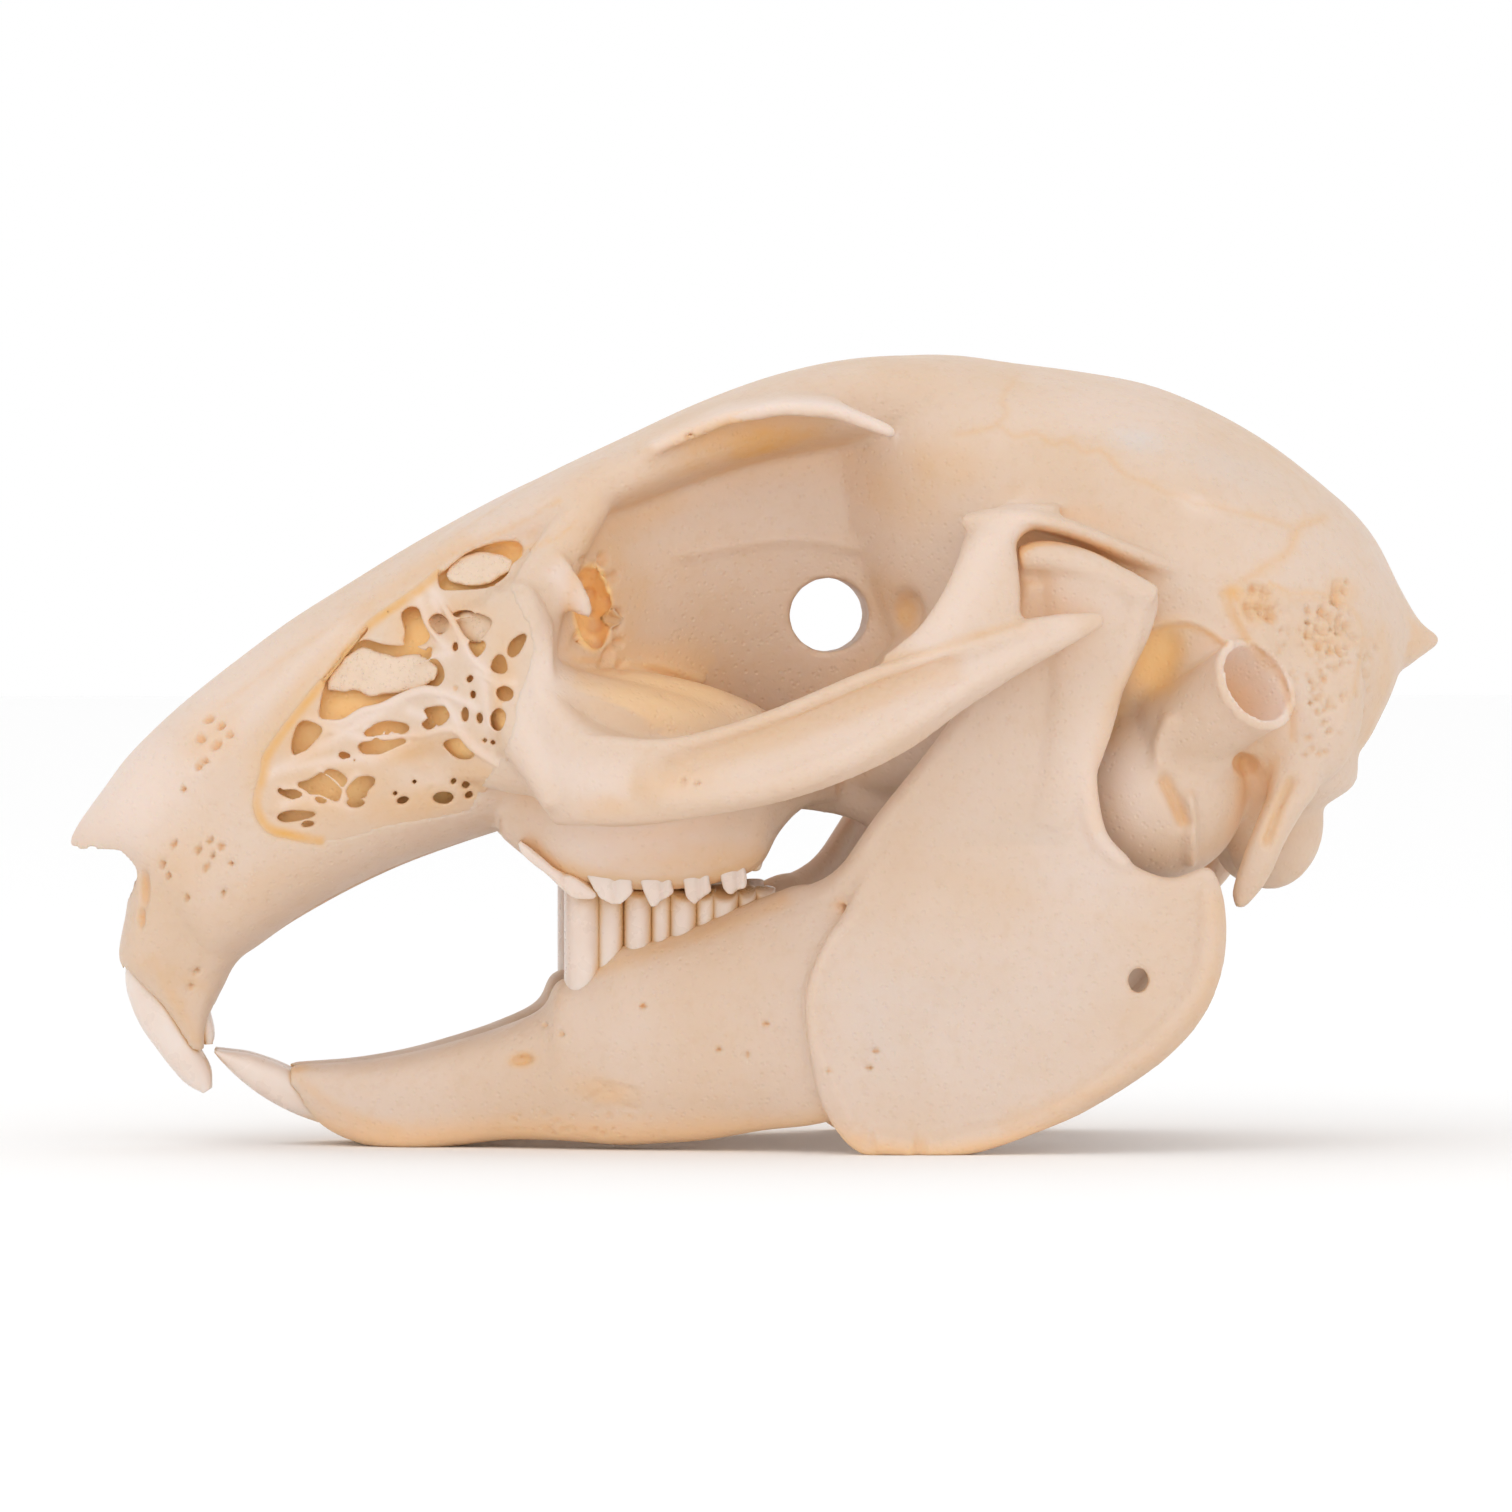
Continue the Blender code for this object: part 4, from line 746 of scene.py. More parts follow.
SUTURE_HALF = 0.13
SUTURE_DEPTH = 0.05
BRAIN_SUTURES = [
    [(13.5, 40.3), (12.8, 39.6), (12.5, 39), (12.7, 38.4), (12.2, 37.8), (11.2, 37.4), (10, 37.2)],
    [(12.2, 37.8), (13, 37.1), (14.1, 37.3), (15, 36.7), (15.8, 36.9), (16.5, 36.3), (17.4, 36.4),
     (18.2, 35.6), (18.9, 35), (19.8, 34.7), (20.7, 34.2), (21.4, 34.1), (22.3, 33.6)],
    [(22.3, 33.6), (23.4, 33.5), (24.3, 33.2), (25.8, 32.9), (27.4, 32.4)],
    [(29.4, 32.9), (28.7, 32.6), (27.8, 32.4), (27.3, 32), (27.2, 31.2), (26.3, 30.8), (25.8, 30.3),
     (24.8, 29.7), (23.9, 29.1)],
    [(23.9, 29), (24.1, 28.2), (24.7, 26.9), (26, 25.2), (27.2, 23.7)],
    [(24.8, 29.6), (26, 29.3), (27.3, 28.7), (28.5, 28.7), (29.7, 28.3), (30.8, 27.7), (31.1, 27)],
]
SNOUT_SUTURE = [
    (-31.8, 16.2), (-30, 18.4), (-27.5, 21.4), (-24.5, 24.6), (-21, 27.6), (-17.5, 30.2), (-14, 32.2),
]
JUGAL_GROOVE = [(-5.2, 20.1), (-3, 20.9), (0, 21.9), (3, 23), (6, 24.2), (9, 25.3)]
JUGAL_SUTURE = [(5.8, 25.6), (8, 26), (10, 26.7), (12, 27.3), (12.8, 27.5)]
ORBIT_RIDGE = [(-4.2, 31), (-2, 31.4), (1, 31.8), (3, 31.8), (5, 31.4)]
ORBIT_FLOOR_LINE = [(-9.5, 25.7), (-7, 25.3), (-5, 25.1), (-2, 24.1), (2, 24)]
BULLA_RIDGE = [(20.9, 22.4), (20.45, 21.3), (20.35, 20.3)]
BULLA_SPINE = [(21.9, 18.4), (22.05, 17), (22.05, 15.2)]
BULLA_SLIT = [(20.65, 19.3), (21.1, 18.4), (21.7, 17.2)]
EAR_EDGE = [(19.5, 27.1), (20.5, 27.5), (21.8, 27.65), (22.9, 27.2), (23.9, 26.4)]
MASTOID_RIDGE = [
    (26.07, 29.24), (27.13, 28.78), (28.64, 28.71), (30.15, 28.03), (30.9, 26.97), (30.61, 25.5), (30.31, 24),
    (29.9, 21.9),
]
MASTOID_EDGE = [(23.6, 29), (23.95, 28), (24.5, 27.1), (25.2, 26.3), (26.5, 25), (27.1, 23), (27.3, 21.5)]
BACK_GROOVE = [(27.2, 19.2), (26.6, 18), (26, 16.2)]
WINDOW_RIM = [
    (-23, 16.1), (-24.5, 16.4), (-25.7, 16.8), (-26.3, 18), (-25.9, 19.6), (-25.8, 20.4), (-25, 21.6),
    (-24, 22.9), (-22.5, 24.7), (-21.5, 26.1), (-20.3, 27.4), (-18, 29), (-16.8, 30),
]
# Lines as (path, half width, height, and the distances from the middle between which they lie)
CRANIUM_STROKES = [(path, SUTURE_HALF, -SUTURE_DEPTH, 0, 13) for path in BRAIN_SUTURES] + [
    (SNOUT_SUTURE, 0.25, -0.07, 2, 10), (JUGAL_GROOVE, 0.7, -0.5, 14, 18),
    (JUGAL_SUTURE, 0.16, -0.07, 13, 18), (ORBIT_RIDGE, 0.4, 0.22, 1, 9),
    (ORBIT_FLOOR_LINE, 0.2, 0.15, 3, 12), (BULLA_RIDGE, 0.4, 0.4, 6, 13),
    (BULLA_SPINE, 0.3, 0.5, 6, 13), (BULLA_SLIT, 0.34, -0.6, 6, 14), (EAR_EDGE, 0.22, 0.25, 5, 13),
    (MASTOID_RIDGE, 0.35, 0.14, 3, 14), (MASTOID_EDGE, 0.2, -0.12, 5, 14),
    (BACK_GROOVE, 0.25, -0.3, 6, 12), (WINDOW_RIM, 0.22, -0.25, 4, 11),
]
SNOUT_PITS = [
    (-28.8, 22.4, 0.28, 0.16, 20), (-28.15, 22.05, 0.24, 0.14, 30), (-27.7, 21.6, 0.2, 0.12, 40),
    (-28.4, 21.05, 0.34, 0.16, 40), (-29.2, 21.4, 0.24, 0.2, 0), (-29, 20.25, 0.2, 0.15, 0),
    (-29.3, 19.95, 0.2, 0.15, 60), (-30.1, 18.8, 0.15, 0.12, 0), (-28.7, 16.1, 0.22, 0.12, 60),
    (-28.15, 15.8, 0.2, 0.17, 60), (-28.6, 15.3, 0.22, 0.1, 60), (-29.3, 15.6, 0.25, 0.1, 65),
    (-28.9, 14.7, 0.25, 0.1, 60), (-27.6, 14.9, 0.16, 0.1, 45), (-30.6, 15.9, 0.25, 0.12, 65),
    (-31.2, 14.8, 0.25, 0.12, 70), (-30.9, 14.2, 0.2, 0.1, 60), (-32.1, 13.5, 0.2, 0.9, 0),
    (-32.3, 12, 0.15, 0.5, 0), (-29.4, 9.2, 0.22, 0.12, 40), (-29.7, 8.4, 0.18, 0.1, 40),
    (-28, 13.4, 0.25, 0.09, 65), (-29.9, 13.1, 0.2, 0.09, 60),
]
CRANIUM_HOLES = [  # spot, depth, near, far
    ((24.95, 20.1, 0.52, 0.46, -15), -1.1, 7, 14), ((-3.9, 37.1, 0.2, 0.2, 0), -0.5, 2, 10),
    ((7.6, 28, 0.7, 1, 10), -0.7, 2, 9), ((-5.2, 23.7, 0.2, 0.12, -40), -0.2, 6, 13),
    ((-4.5, 19.4, 0.16, 0.14, 0), -0.3, 13, 18), ((-3.8, 19.35, 0.16, 0.12, 0), -0.3, 13, 18),
    ((20.3, 25.6, 1.1, 1.6, -25), -0.7, 5, 13),
]
# Clusters of pits as (seed, count, region, sizes, height, near, far)
CRANIUM_CLUSTERS = [
    (3, 70, [(25.2, 29), (27.3, 29.7), (31.8, 28), (32.2, 25), (31, 21.5), (28.6, 20.2), (27.6, 23.5)],
     (0.12, 0.2), -0.14, 5, 14),
    (5, 22, [(24.5, 27.5), (26.3, 27.4), (26.4, 29.1), (25, 29.3)], (0.14, 0.3), -0.26, 5, 14),
    (7, 40, [(27.7, 26), (30.2, 25.6), (30.3, 27.8), (28, 28.3)], (0.12, 0.22), -0.24, 5, 14),
    (8, 16, [(29.2, 28.4), (30.8, 28.2), (30.5, 29.6), (29.3, 29.8)], (0.12, 0.26), -0.24, 3, 14),
    (9, 26, [(27.9, 19.9), (29.3, 20.4), (29.6, 25.5), (28.2, 25.8)], (0.12, 0.22), -0.2, 5, 14),
    (13, 30, [(-9.7, 24.6), (-7.2, 24.8), (-6.8, 28.5), (-7.6, 31.2), (-9.6, 31.4)],
     (0.2, 0.42), -0.3, 3, 9.4),
]
CRANIUM_SPOTS = [(spot, -0.45, 2, 9) for spot in SNOUT_PITS]
for cluster in CRANIUM_CLUSTERS:
    CRANIUM_SPOTS += scattered(*cluster)
CRANIUM_SPOTS += CRANIUM_HOLES

RAMUS_RIDGE = [(4.7, 12.3), (3.2, 11), (2.6, 9.5), (2.3, 8), (2.4, 6), (3, 4.5), (4, 2.5), (4.6, 1.2)]
JAW_STROKES = [
    (RAMUS_RIDGE, 0.45, 0.22, 8, 14),
    ([(-9.2, 2.6), (-8.4, 3.2), (-7.8, 3.1)], 0.14, -0.1, 3, 12),
    ([(-8.8, 3.6), (-7.6, 3.4), (-6.6, 3.2)], 0.12, -0.1, 3, 12),
    ([(-7.6, 2.4), (-6.6, 2.2)], 0.12, -0.1, 3, 12),
]
JAW_PITS = [
    (-12.5, 4.7, 0.5, 0.24, 10), (-6.3, 7.6, 0.16, 0.12, 0), (0, 6.7, 0.16, 0.14, 0),
    (-2.4, 5.4, 0.13, 0.1, 0), (-0.9, 5.1, 0.13, 0.1, 0), (5.6, 5.4, 0.16, 0.12, 0), (5.3, 4.5, 0.13, 0.1, 0),
    (3.2, 4.4, 0.13, 0.1, 0), (-10.5, 6.1, 0.15, 0.1, 0), (-11.3, 6.5, 0.12, 0.08, 0),
]
JAW_SPOTS = [(spot, -0.4, 2, 15) for spot in JAW_PITS]
JAW_SPOTS += scattered(11, 26, [(-14, 0.8), (-5, 0.6), (-5, 2.2), (-14, 2.4)], (0.1, 0.18), -0.1, 3, 12)


# The lace of the snout wall: a thin sheet pierced by windows, over a pocket

POCKET = [
    (-23, 16.2), (-24.5, 16.5), (-25.7, 16.9), (-26.1, 18), (-25.8, 19.6), (-25.6, 20.5), (-24.9, 21.6),
    (-23.9, 22.9), (-22.4, 24.7), (-21.3, 26.1), (-20.1, 27.4), (-18, 28.8), (-16.7, 29.9), (-15.4, 31),
    (-13.8, 31.6), (-12.5, 31.6), (-12.5, 30.9), (-13.2, 29.4), (-12.8, 28.2), (-12.2, 27), (-12.2, 25.5),
    (-12.9, 23.6), (-13.1, 22.2), (-13.6, 20.8), (-14.6, 19.2), (-15.4, 17.8), (-17.2, 17.4), (-19.5, 17),
    (-21.4, 16.4),
]
WINDOWS = [  # outlines
    [(-22.97, 22.5), (-22.8, 23.78), (-22.37, 24.94), (-21.7, 25.73), (-20.74, 26.49), (-19.79, 26.28),
     (-18.94, 26.19), (-18.09, 26.15), (-17.28, 25.79), (-16.73, 25.22), (-16.61, 24.62), (-16.92, 24.2),
     (-17.67, 23.95), (-18.3, 23.78), (-19.15, 23.39), (-20, 22.89), (-20.85, 22.36), (-21.7, 22.21),
     (-22.44, 22.29)],
    [(-18.68, 27.97), (-18.2, 28.23), (-17.77, 28.02), (-17.62, 27.38), (-17.31, 26.91), (-17.45, 26.49),
     (-17.88, 26.28), (-18.34, 26.19), (-18.6, 26.43), (-18.51, 26.96), (-18.64, 27.49)],
    [(-17.31, 27.49), (-16.99, 27.85), (-16.52, 27.76), (-16.35, 27.28), (-16.65, 26.91), (-17.14, 27)],
    [(-16.14, 27.81), (-15.65, 28.02), (-15.08, 27.95), (-14.32, 27.7), (-14.15, 27.47), (-14.4, 27.06),
     (-14.63, 26.7), (-15.27, 26.64), (-15.61, 27), (-15.93, 27.38)],
    [(-15.31, 26.45), (-14.55, 26.49), (-14.51, 26.19), (-14.91, 25.71), (-15.18, 25.98)],
    [(-13.34, 25.9), (-13.13, 26.53), (-12.47, 26.91), (-12.41, 26.75), (-12.77, 25.98), (-13.11, 25.73)],
    [(-14.15, 25.03), (-13.98, 25.68), (-13.68, 25.81), (-13.49, 25.58), (-13.42, 24.92)],
    [(-13.91, 23.99), (-13.53, 24.18), (-13.13, 23.97), (-13.21, 23.54), (-13.74, 23.52)],
    [(-14.15, 22.72), (-13.85, 23.06), (-13.51, 22.82), (-13.62, 22.16), (-13.89, 21.95), (-14.17, 22.19)],
    [(-18.13, 22.67), (-17.45, 23.01), (-16.39, 23.06), (-16.35, 22.61), (-16.88, 22.06), (-17.45, 21.95),
     (-17.79, 22.29)],
    [(-20.68, 21.74), (-20, 22.19), (-19.36, 22.29), (-18.47, 22.14), (-18.41, 21.87), (-18.94, 21.63),
     (-19.79, 21.46), (-20.42, 21.42)],
    [(-21, 21.1), (-20.42, 21.25), (-19.57, 21.27), (-18.47, 21.4), (-18.68, 21), (-19.57, 20.57),
     (-20.1, 20.68), (-20.74, 20.68)],
    [(-24.43, 21), (-24.13, 22.08), (-23.71, 22.31), (-23.03, 22.06), (-22.93, 21.76), (-23.79, 20.79),
     (-24.24, 20.47)],
    [(-16.61, 21.19), (-15.97, 21.44), (-15.33, 21.27), (-14.99, 20.81), (-15.25, 20.47), (-15.86, 20.49),
     (-16.29, 20.81)],
    [(-22.1, 20.7), (-21.6, 20.65), (-21, 20.3), (-21.6, 20.2)],
    [(-20.6, 18.4), (-21.6, 18.4), (-21.5, 18.9), (-21, 19.4), (-20.2, 19.4), (-20.2, 19.1), (-20.6, 18.7)],
    [(-24.2, 19.1), (-23.6, 19.2), (-22.6, 19.8), (-21.9, 19.6), (-21.6, 19.2), (-21.9, 18.6), (-22.1, 18.2),
     (-23.2, 18.15)],
    [(-25.2, 18.7), (-24.9, 18.95), (-24.2, 18.7), (-23.4, 18.2), (-24.4, 18.3)],
    [(-25.2, 17.4), (-24.4, 17.65), (-23.1, 17.5), (-24.1, 17.2), (-25, 17.15)],
    [(-20.5, 27.1), (-20.9, 26.6), (-21.7, 25.8), (-22.4, 24.9), (-22.75, 24.3), (-22.85, 24.6),
     (-22.3, 25.5), (-21.6, 26.2), (-20.7, 27.2)],
]
OVAL_WINDOWS = [  # x, z, half length, half height, tilt
    (-22.4, 21.5, 0.27, 0.18, 20), (-17.8, 22.6, 0.4, 0.3, 0), (-15.5, 22.75, 0.2, 0.42, 0),
    (-14.75, 22.55, 0.16, 0.4, 0), (-14.43, 23.7, 0.16, 0.2, 0), (-15.1, 23.77, 0.16, 0.26, 0),
    (-15.28, 24.55, 0.27, 0.18, 60), (-16, 24.05, 0.15, 0.16, 0), (-16, 26.2, 0.13, 0.33, 0),
    (-21.15, 18.1, 0.55, 0.25, 0), (-25.6, 17.45, 0.3, 0.13, 0), (-23.6, 17, 0.5, 0.15, 10),
    (-22.3, 16.75, 0.4, 0.12, 0), (-18.7, 18.25, 0.4, 0.18, 20), (-19.1, 18.6, 0.22, 0.15, 45),
    (-16.6, 18.35, 0.52, 0.32, 5), (-15.45, 19.05, 0.24, 0.2, 45), (-15.3, 18.5, 0.26, 0.19, 30),
    (-16.1, 19.25, 0.24, 0.15, 45), (-16.25, 19.7, 0.25, 0.12, 30), (-18.1, 19.2, 0.13, 0.15, 0),
    (-17.15, 18.9, 0.16, 0.1, 0), (-18.05, 21.3, 0.16, 0.12, 0), (-20, 19.95, 0.2, 0.12, 0),
    (-17.3, 26.05, 0.2, 0.15, -45), (-14.5, 21.4, 0.14, 0.17, 0), (-14.1, 21.3, 0.18, 0.16, 0),
    (-14.35, 20.95, 0.16, 0.14, 0), (-19.05, 17.55, 0.2, 0.1, 15), (-13, 23.15, 0.1, 0.18, 0),
]
TOP_WINDOW = [
    (-16.8, 29.5), (-16.7, 30.4), (-16, 31.1), (-14.5, 31.7), (-13, 31.8), (-12.2, 31.6), (-12.4, 31),
    (-13, 30.5), (-13.3, 29.9), (-14.2, 29.3), (-15.5, 29.15), (-16.6, 29.15),
]
STRANDS = [  # x, z, half thickness
    [(-23.3, 22.4, 0.12), (-21.9, 22.25, 0.2), (-20.8, 22.8, 0.26), (-19.8, 23.05, 0.26), (-18.7, 23.55, 0.3),
     (-17.6, 23.9, 0.32), (-16.6, 23.8, 0.28), (-15.8, 23.5, 0.22), (-15, 23.1, 0.16)],
    [(-24.3, 20.4, 0.16), (-23, 21, 0.16), (-22, 21.55, 0.18), (-20.8, 22.3, 0.16), (-19.8, 22.9, 0.14)],
    [(-20.9, 21.45, 0.1), (-19.5, 21.55, 0.1), (-17.8, 21.6, 0.12)],
    [(-23.5, 22.4, 0.1), (-22.2, 21.9, 0.12), (-20.8, 21.5, 0.12)],
    [(-20.4, 20.4, 0.12), (-19.7, 20.6, 0.12), (-18.4, 21.2, 0.12)],
    [(-17.7, 21.6, 0.16), (-16.6, 21.95, 0.26), (-15.8, 21.85, 0.3), (-15, 21, 0.3), (-13.7, 20.1, 0.22)],
    [(-17.4, 29.4, 0.16), (-16.7, 28.5, 0.18), (-15.9, 27.1, 0.2), (-15.2, 25.7, 0.2), (-14.4, 24.9, 0.22)],
    [(-17.9, 28.9, 0.14), (-17.4, 27.3, 0.16), (-16.5, 26.2, 0.14)],
    [(-21.9, 18.2, 0.1), (-21.7, 18.9, 0.1), (-21.1, 19.5, 0.12)],
    [(-25, 18.8, 0.1), (-24, 18.8, 0.1), (-23.2, 18.1, 0.1)],
    [(-17, 23.9, 0.14), (-16.3, 23, 0.16), (-15.9, 22.2, 0.16)],
    [(-25.6, 19.6, 0.08), (-24.2, 20.3, 0.08), (-22.8, 21.2, 0.1)],
    [(-24.9, 19.9, 0.07), (-23, 20.2, 0.08), (-21.2, 20.4, 0.08), (-19.9, 20.6, 0.07)],
    [(-22.9, 21.9, 0.08), (-21.3, 22.4, 0.09), (-19.9, 22.9, 0.1)],
    [(-18.2, 25.2, 0.07), (-17.2, 25.6, 0.08), (-16.4, 25.9, 0.1)],
    [(-17.1, 28.6, 0.1), (-16.3, 27.7, 0.1), (-15.1, 27.8, 0.08)],
    [(-14.9, 24.9, 0.12), (-14, 24.4, 0.14), (-13.1, 24.4, 0.12)],
    [(-14.6, 24.6, 0.12), (-14.4, 23.4, 0.14), (-14.3, 22.2, 0.14)],
    [(-18.3, 22.9, 0.05), (-17.6, 22.6, 0.05), (-17, 22.2, 0.05)],
    [(-20.6, 22, 0.05), (-19.9, 21.8, 0.05), (-18.9, 21.75, 0.05)],
    [(-24.9, 18, 0.08), (-23.4, 18.5, 0.09), (-22.4, 18.2, 0.08), (-21.5, 17.9, 0.08)],
    [(-23, 19.8, 0.07), (-22.2, 19.2, 0.08), (-21.6, 18.5, 0.08)],
]
# Porous plates inside the pocket, as outlines with their depth below the lace
BONY_PLATES = [
    ([(-22.69, 23.99), (-22.33, 24.9), (-21.7, 25.56), (-20.74, 26.15), (-19.79, 25.9), (-18.94, 25.68),
      (-18.09, 25.85), (-17.35, 25.56), (-16.86, 25.05), (-16.99, 24.58), (-17.45, 24.2), (-17.88, 23.9),
      (-18.94, 23.8), (-19.74, 23.73), (-20.32, 23.52), (-20.95, 23.86), (-21.7, 23.86)], 0.2),
    ([(-17.35, 26.91), (-17.45, 27.81), (-16.92, 28.02), (-16.18, 27.81), (-15.33, 28.12), (-14.06, 27.81),
      (-14.06, 26.96), (-14.7, 26.43), (-15.55, 26.53), (-16.61, 26.75)], 0.7),
    ([(-16.4, 30), (-15.8, 30.8), (-14.6, 31.1), (-13.4, 30.9), (-12.9, 30.6), (-13.4, 29.9), (-14.6, 29.4),
      (-16, 29.4)], 0.1),
]
LACE_SEED = 17
POCKET_DEPTH = 1.3
SHEET_HALF = 0.25
SHEET_SINK = 0.32  # from the bone's surface to the middle of the sheet
STRAND_RISE = 0.12  # from the middle of the sheet out to the middle of a strand
PLATE_HALF = 0.22
PLATE_SINK = 0.5
SHEET_GROWTH = 0.45  # how far the sheet's border goes into the bone
DIP = (-16.9, 20.4, 1.5, 0.9, 0.8)  # a hollow in the sheet: x, z, half length, half height, depth


class Wall:
    """The outer surface of the left side of the skull, as y over a grid in X and Z."""

    def __init__(self, obj, low, high, step=0.4):
        graph = bpy.context.evaluated_depsgraph_get()
        tree = BVHTree.FromObject(obj, graph)
        self.low, self.step = np.array(low), step
        self.count = np.ceil((np.array(high) - low) / step).astype(int) + 1
        self.grid = np.zeros(self.count)
        for i, j in np.ndindex(*self.count):
            start = Vector((low[0] + i * step, -40, low[1] + j * step))
            hit = tree.ray_cast(start, Vector((0, 1, 0)))[0]
            self.grid[i, j] = hit.y if hit else 0

    def y(self, x, z):
        """The surface between the points of the grid."""
        (i, s), (j, t) = (
            self.place(v, low, count) for v, low, count in zip((x, z), self.low, self.count)
        )
        front = self.grid[i, j] * (1 - t) + self.grid[i, j + 1] * t
        back = self.grid[i + 1, j] * (1 - t) + self.grid[i + 1, j + 1] * t
        return front * (1 - s) + back * s

    def place(self, value, low, count):
        """The grid point before a value, and how far it lies towards the next one."""
        place = np.clip((value - low) / self.step, 0, count - 1.001)
        return place.astype(int), place % 1


def oval(x, z, long, high, tilt, random, count=9):
    """The outline of a window, a little uneven."""
    turn = math.radians(tilt)
    points = []
    for i in range(count):
        angle = math.tau * i / count
        size = random.uniform(0.85, 1.12)
        along, across = long * size * math.cos(angle), high * size * math.sin(angle)
        points.append((
            x + along * math.cos(turn) - across * math.sin(turn),
            z + along * math.sin(turn) + across * math.cos(turn),
        ))
    return points


def grown(outline, by):
    """An outline moved outwards by a distance."""
    points = np.array(outline)
    ways = np.roll(points, -1, axis=0) - np.roll(points, 1, axis=0)
    area = np.cross(points, np.roll(points, -1, axis=0)).sum()
    normals = np.stack([ways[:, 1], -ways[:, 0]], axis=1) * np.sign(area)
    normals /= np.linalg.norm(normals, axis=1)[:, None]
    return points + normals * by


def dip(x, z):
    middle_x, middle_z, long, high, depth = DIP
    return depth * np.exp(-(((x - middle_x) / long) ** 2) - ((z - middle_z) / high) ** 2)


def pocket(wall):
    """The hollow behind the lace, cut from outside."""
    reach = 6.0
    return plate(POCKET, reach, lambda x, z: wall.y(x, z) + POCKET_DEPTH - reach)


def lace_sheet(wall, random):
    holes = [grown(window, 0.04) for window in WINDOWS]
    holes += [oval(*window, random) for window in OVAL_WINDOWS] + [TOP_WINDOW]
    holes = [spline(hole, 3, closed=True) for hole in holes]

    def bend(x, z):
        return wall.y(x, z) + SHEET_SINK + dip(x, z)

    return plate(grown(POCKET, SHEET_GROWTH), SHEET_HALF, bend, voxel=LACE_VOXEL, holes=holes)


def lace_strand(wall, rows):
    x, z, half = np.array(rows).T
    y = wall.y(x, z) + SHEET_SINK - STRAND_RISE + 0.5 * dip(x, z)
    return sweep(np.stack([x, y, z, half, half], axis=1), up=(0, -1, 0), sides=10)


def bony_plate(wall, random, outline, depth):
    """A porous plate, with its outline a little uneven."""
    uneven = []
    for x, z in spline(outline, 3, closed=True):
        uneven.append((x + random.uniform(-0.07, 0.07), z + random.uniform(-0.07, 0.07)))

    def bend(x, z):
        return wall.y(x, z) + PLATE_SINK + depth

    return plate(uneven, PLATE_HALF, bend, smooth=1, voxel=LACE_PLATE_VOXEL)


def build_lace(side, wall, bone, porous):
    random = np.random.default_rng(LACE_SEED)
    sheet = lace_sheet(wall, random)
    strands = [lace_strand(wall, rows) for rows in STRANDS]
    lace = solid_of("lace", on_side(side, [sheet, *strands]))
    remesh(lace, LACE_VOXEL, rounds=4)
    apply_modifiers(lace)
    thin_out(lace, LACE_TRIANGLES)
    paint_lace_glow_and_light(lace)
    as_piece(lace, f"lace_{side}", bone)
    shapes = [bony_plate(wall, random, outline, depth) for outline, depth in BONY_PLATES]
    plates = solid_of("plates", on_side(side, shapes))
    remesh(plates, LACE_PLATE_VOXEL, rounds=1)
    apply_modifiers(plates)
    as_piece(plates, f"lace_plates_{side}", porous)


# Building the pieces


def as_piece(obj, name, material, replaced=()):
    """Turns the object into a piece of the skull in metres, riding on the frame."""
    obj.name = name
    obj.data.name = name
    obj.data.transform(Matrix.Scale(UNIT, 4))
    obj.data.materials.clear()
    obj.data.materials.append(material)
    obj.data.shade_smooth()
    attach(obj, "root")
    if replaced:
        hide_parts(*replaced)


def build_cranium(bone):
    """Builds the cranium, and gives the shape of its side before anything is cut into it."""
    cranium = solid_of("cranium", MIDDLE_SHAPES + LEFT_SHAPES + [mirrored(shape) for shape in LEFT_SHAPES])
    remesh(cranium, CRANIUM_VOXEL, rounds=6)
    apply_modifiers(cranium)
    wall = Wall(cranium, (-28, 15), (-11, 33))
    side_pocket = pocket(wall)
    hollows = [*MIDDLE_HOLLOWS, side_pocket, mirrored(side_pocket), *UPPER_SOCKETS]
    for hollow in LEFT_HOLLOWS:
        hollows += [hollow, mirrored(hollow)]
    cut(cranium, hollows)
    remesh(cranium, CRANIUM_VOXEL, rounds=2)
    apply_modifiers(cranium)
    carve(cranium, CRANIUM_STROKES, CRANIUM_SPOTS)
    thin_out(cranium, CRANIUM_TRIANGLES)
    paint_stains_and_light(cranium, wall)
    as_piece(cranium, "skull", bone, ["cranium"])
    return wall


def build_mandible(side, bone):
    mandible = solid_of("mandible", on_side(side, JAW_SHAPES))
    remesh(mandible, MANDIBLE_VOXEL, rounds=5)
    cut(mandible, on_side(side, JAW_HOLLOWS))
    remesh(mandible, MANDIBLE_VOXEL, rounds=2)
    apply_modifiers(mandible)
    carve(mandible, JAW_STROKES, JAW_SPOTS)
    thin_out(mandible, MANDIBLE_TRIANGLES)
    paint_stains_and_light(mandible)
    as_piece(mandible, f"jaw_{side}", bone, [f"mandible_{side}"])


def build_teeth(side, tooth):
    def finish(solid, name):
        as_piece(solid, f"{name}_detail_{side}", tooth, [f"{name}_{side}"])

    fronts = {"upper_incisor": UPPER_INCISOR, "peg_incisor": PEG_INCISOR, "lower_incisor": LOWER_INCISOR}
    for name, path in fronts.items():
        finish(solid_of(name, on_side(side, [incisor(path)])), name)
    for number, (outline, y, half, groove) in enumerate(UPPER_ROW, 1):
        solid = solid_of("tooth", on_side(side, [upper_tooth(outline, y, half)]))
        remesh(solid, TOOTH_VOXEL, rounds=2)
        apply_modifiers(solid)
        carve(solid, [([(groove, 16.0), (groove, 14.0), (groove + 0.1, 12.6)], 0.16, -0.12, 6, 10)])
        finish(solid, f"upper_cheek_tooth_{number}")
    for number, columns in enumerate(LOWER_ROW, 1):
        solid = solid_of("tooth", on_side(side, [tooth_column(*column) for column in columns]))
        finish(solid, f"lower_cheek_tooth_{number}")
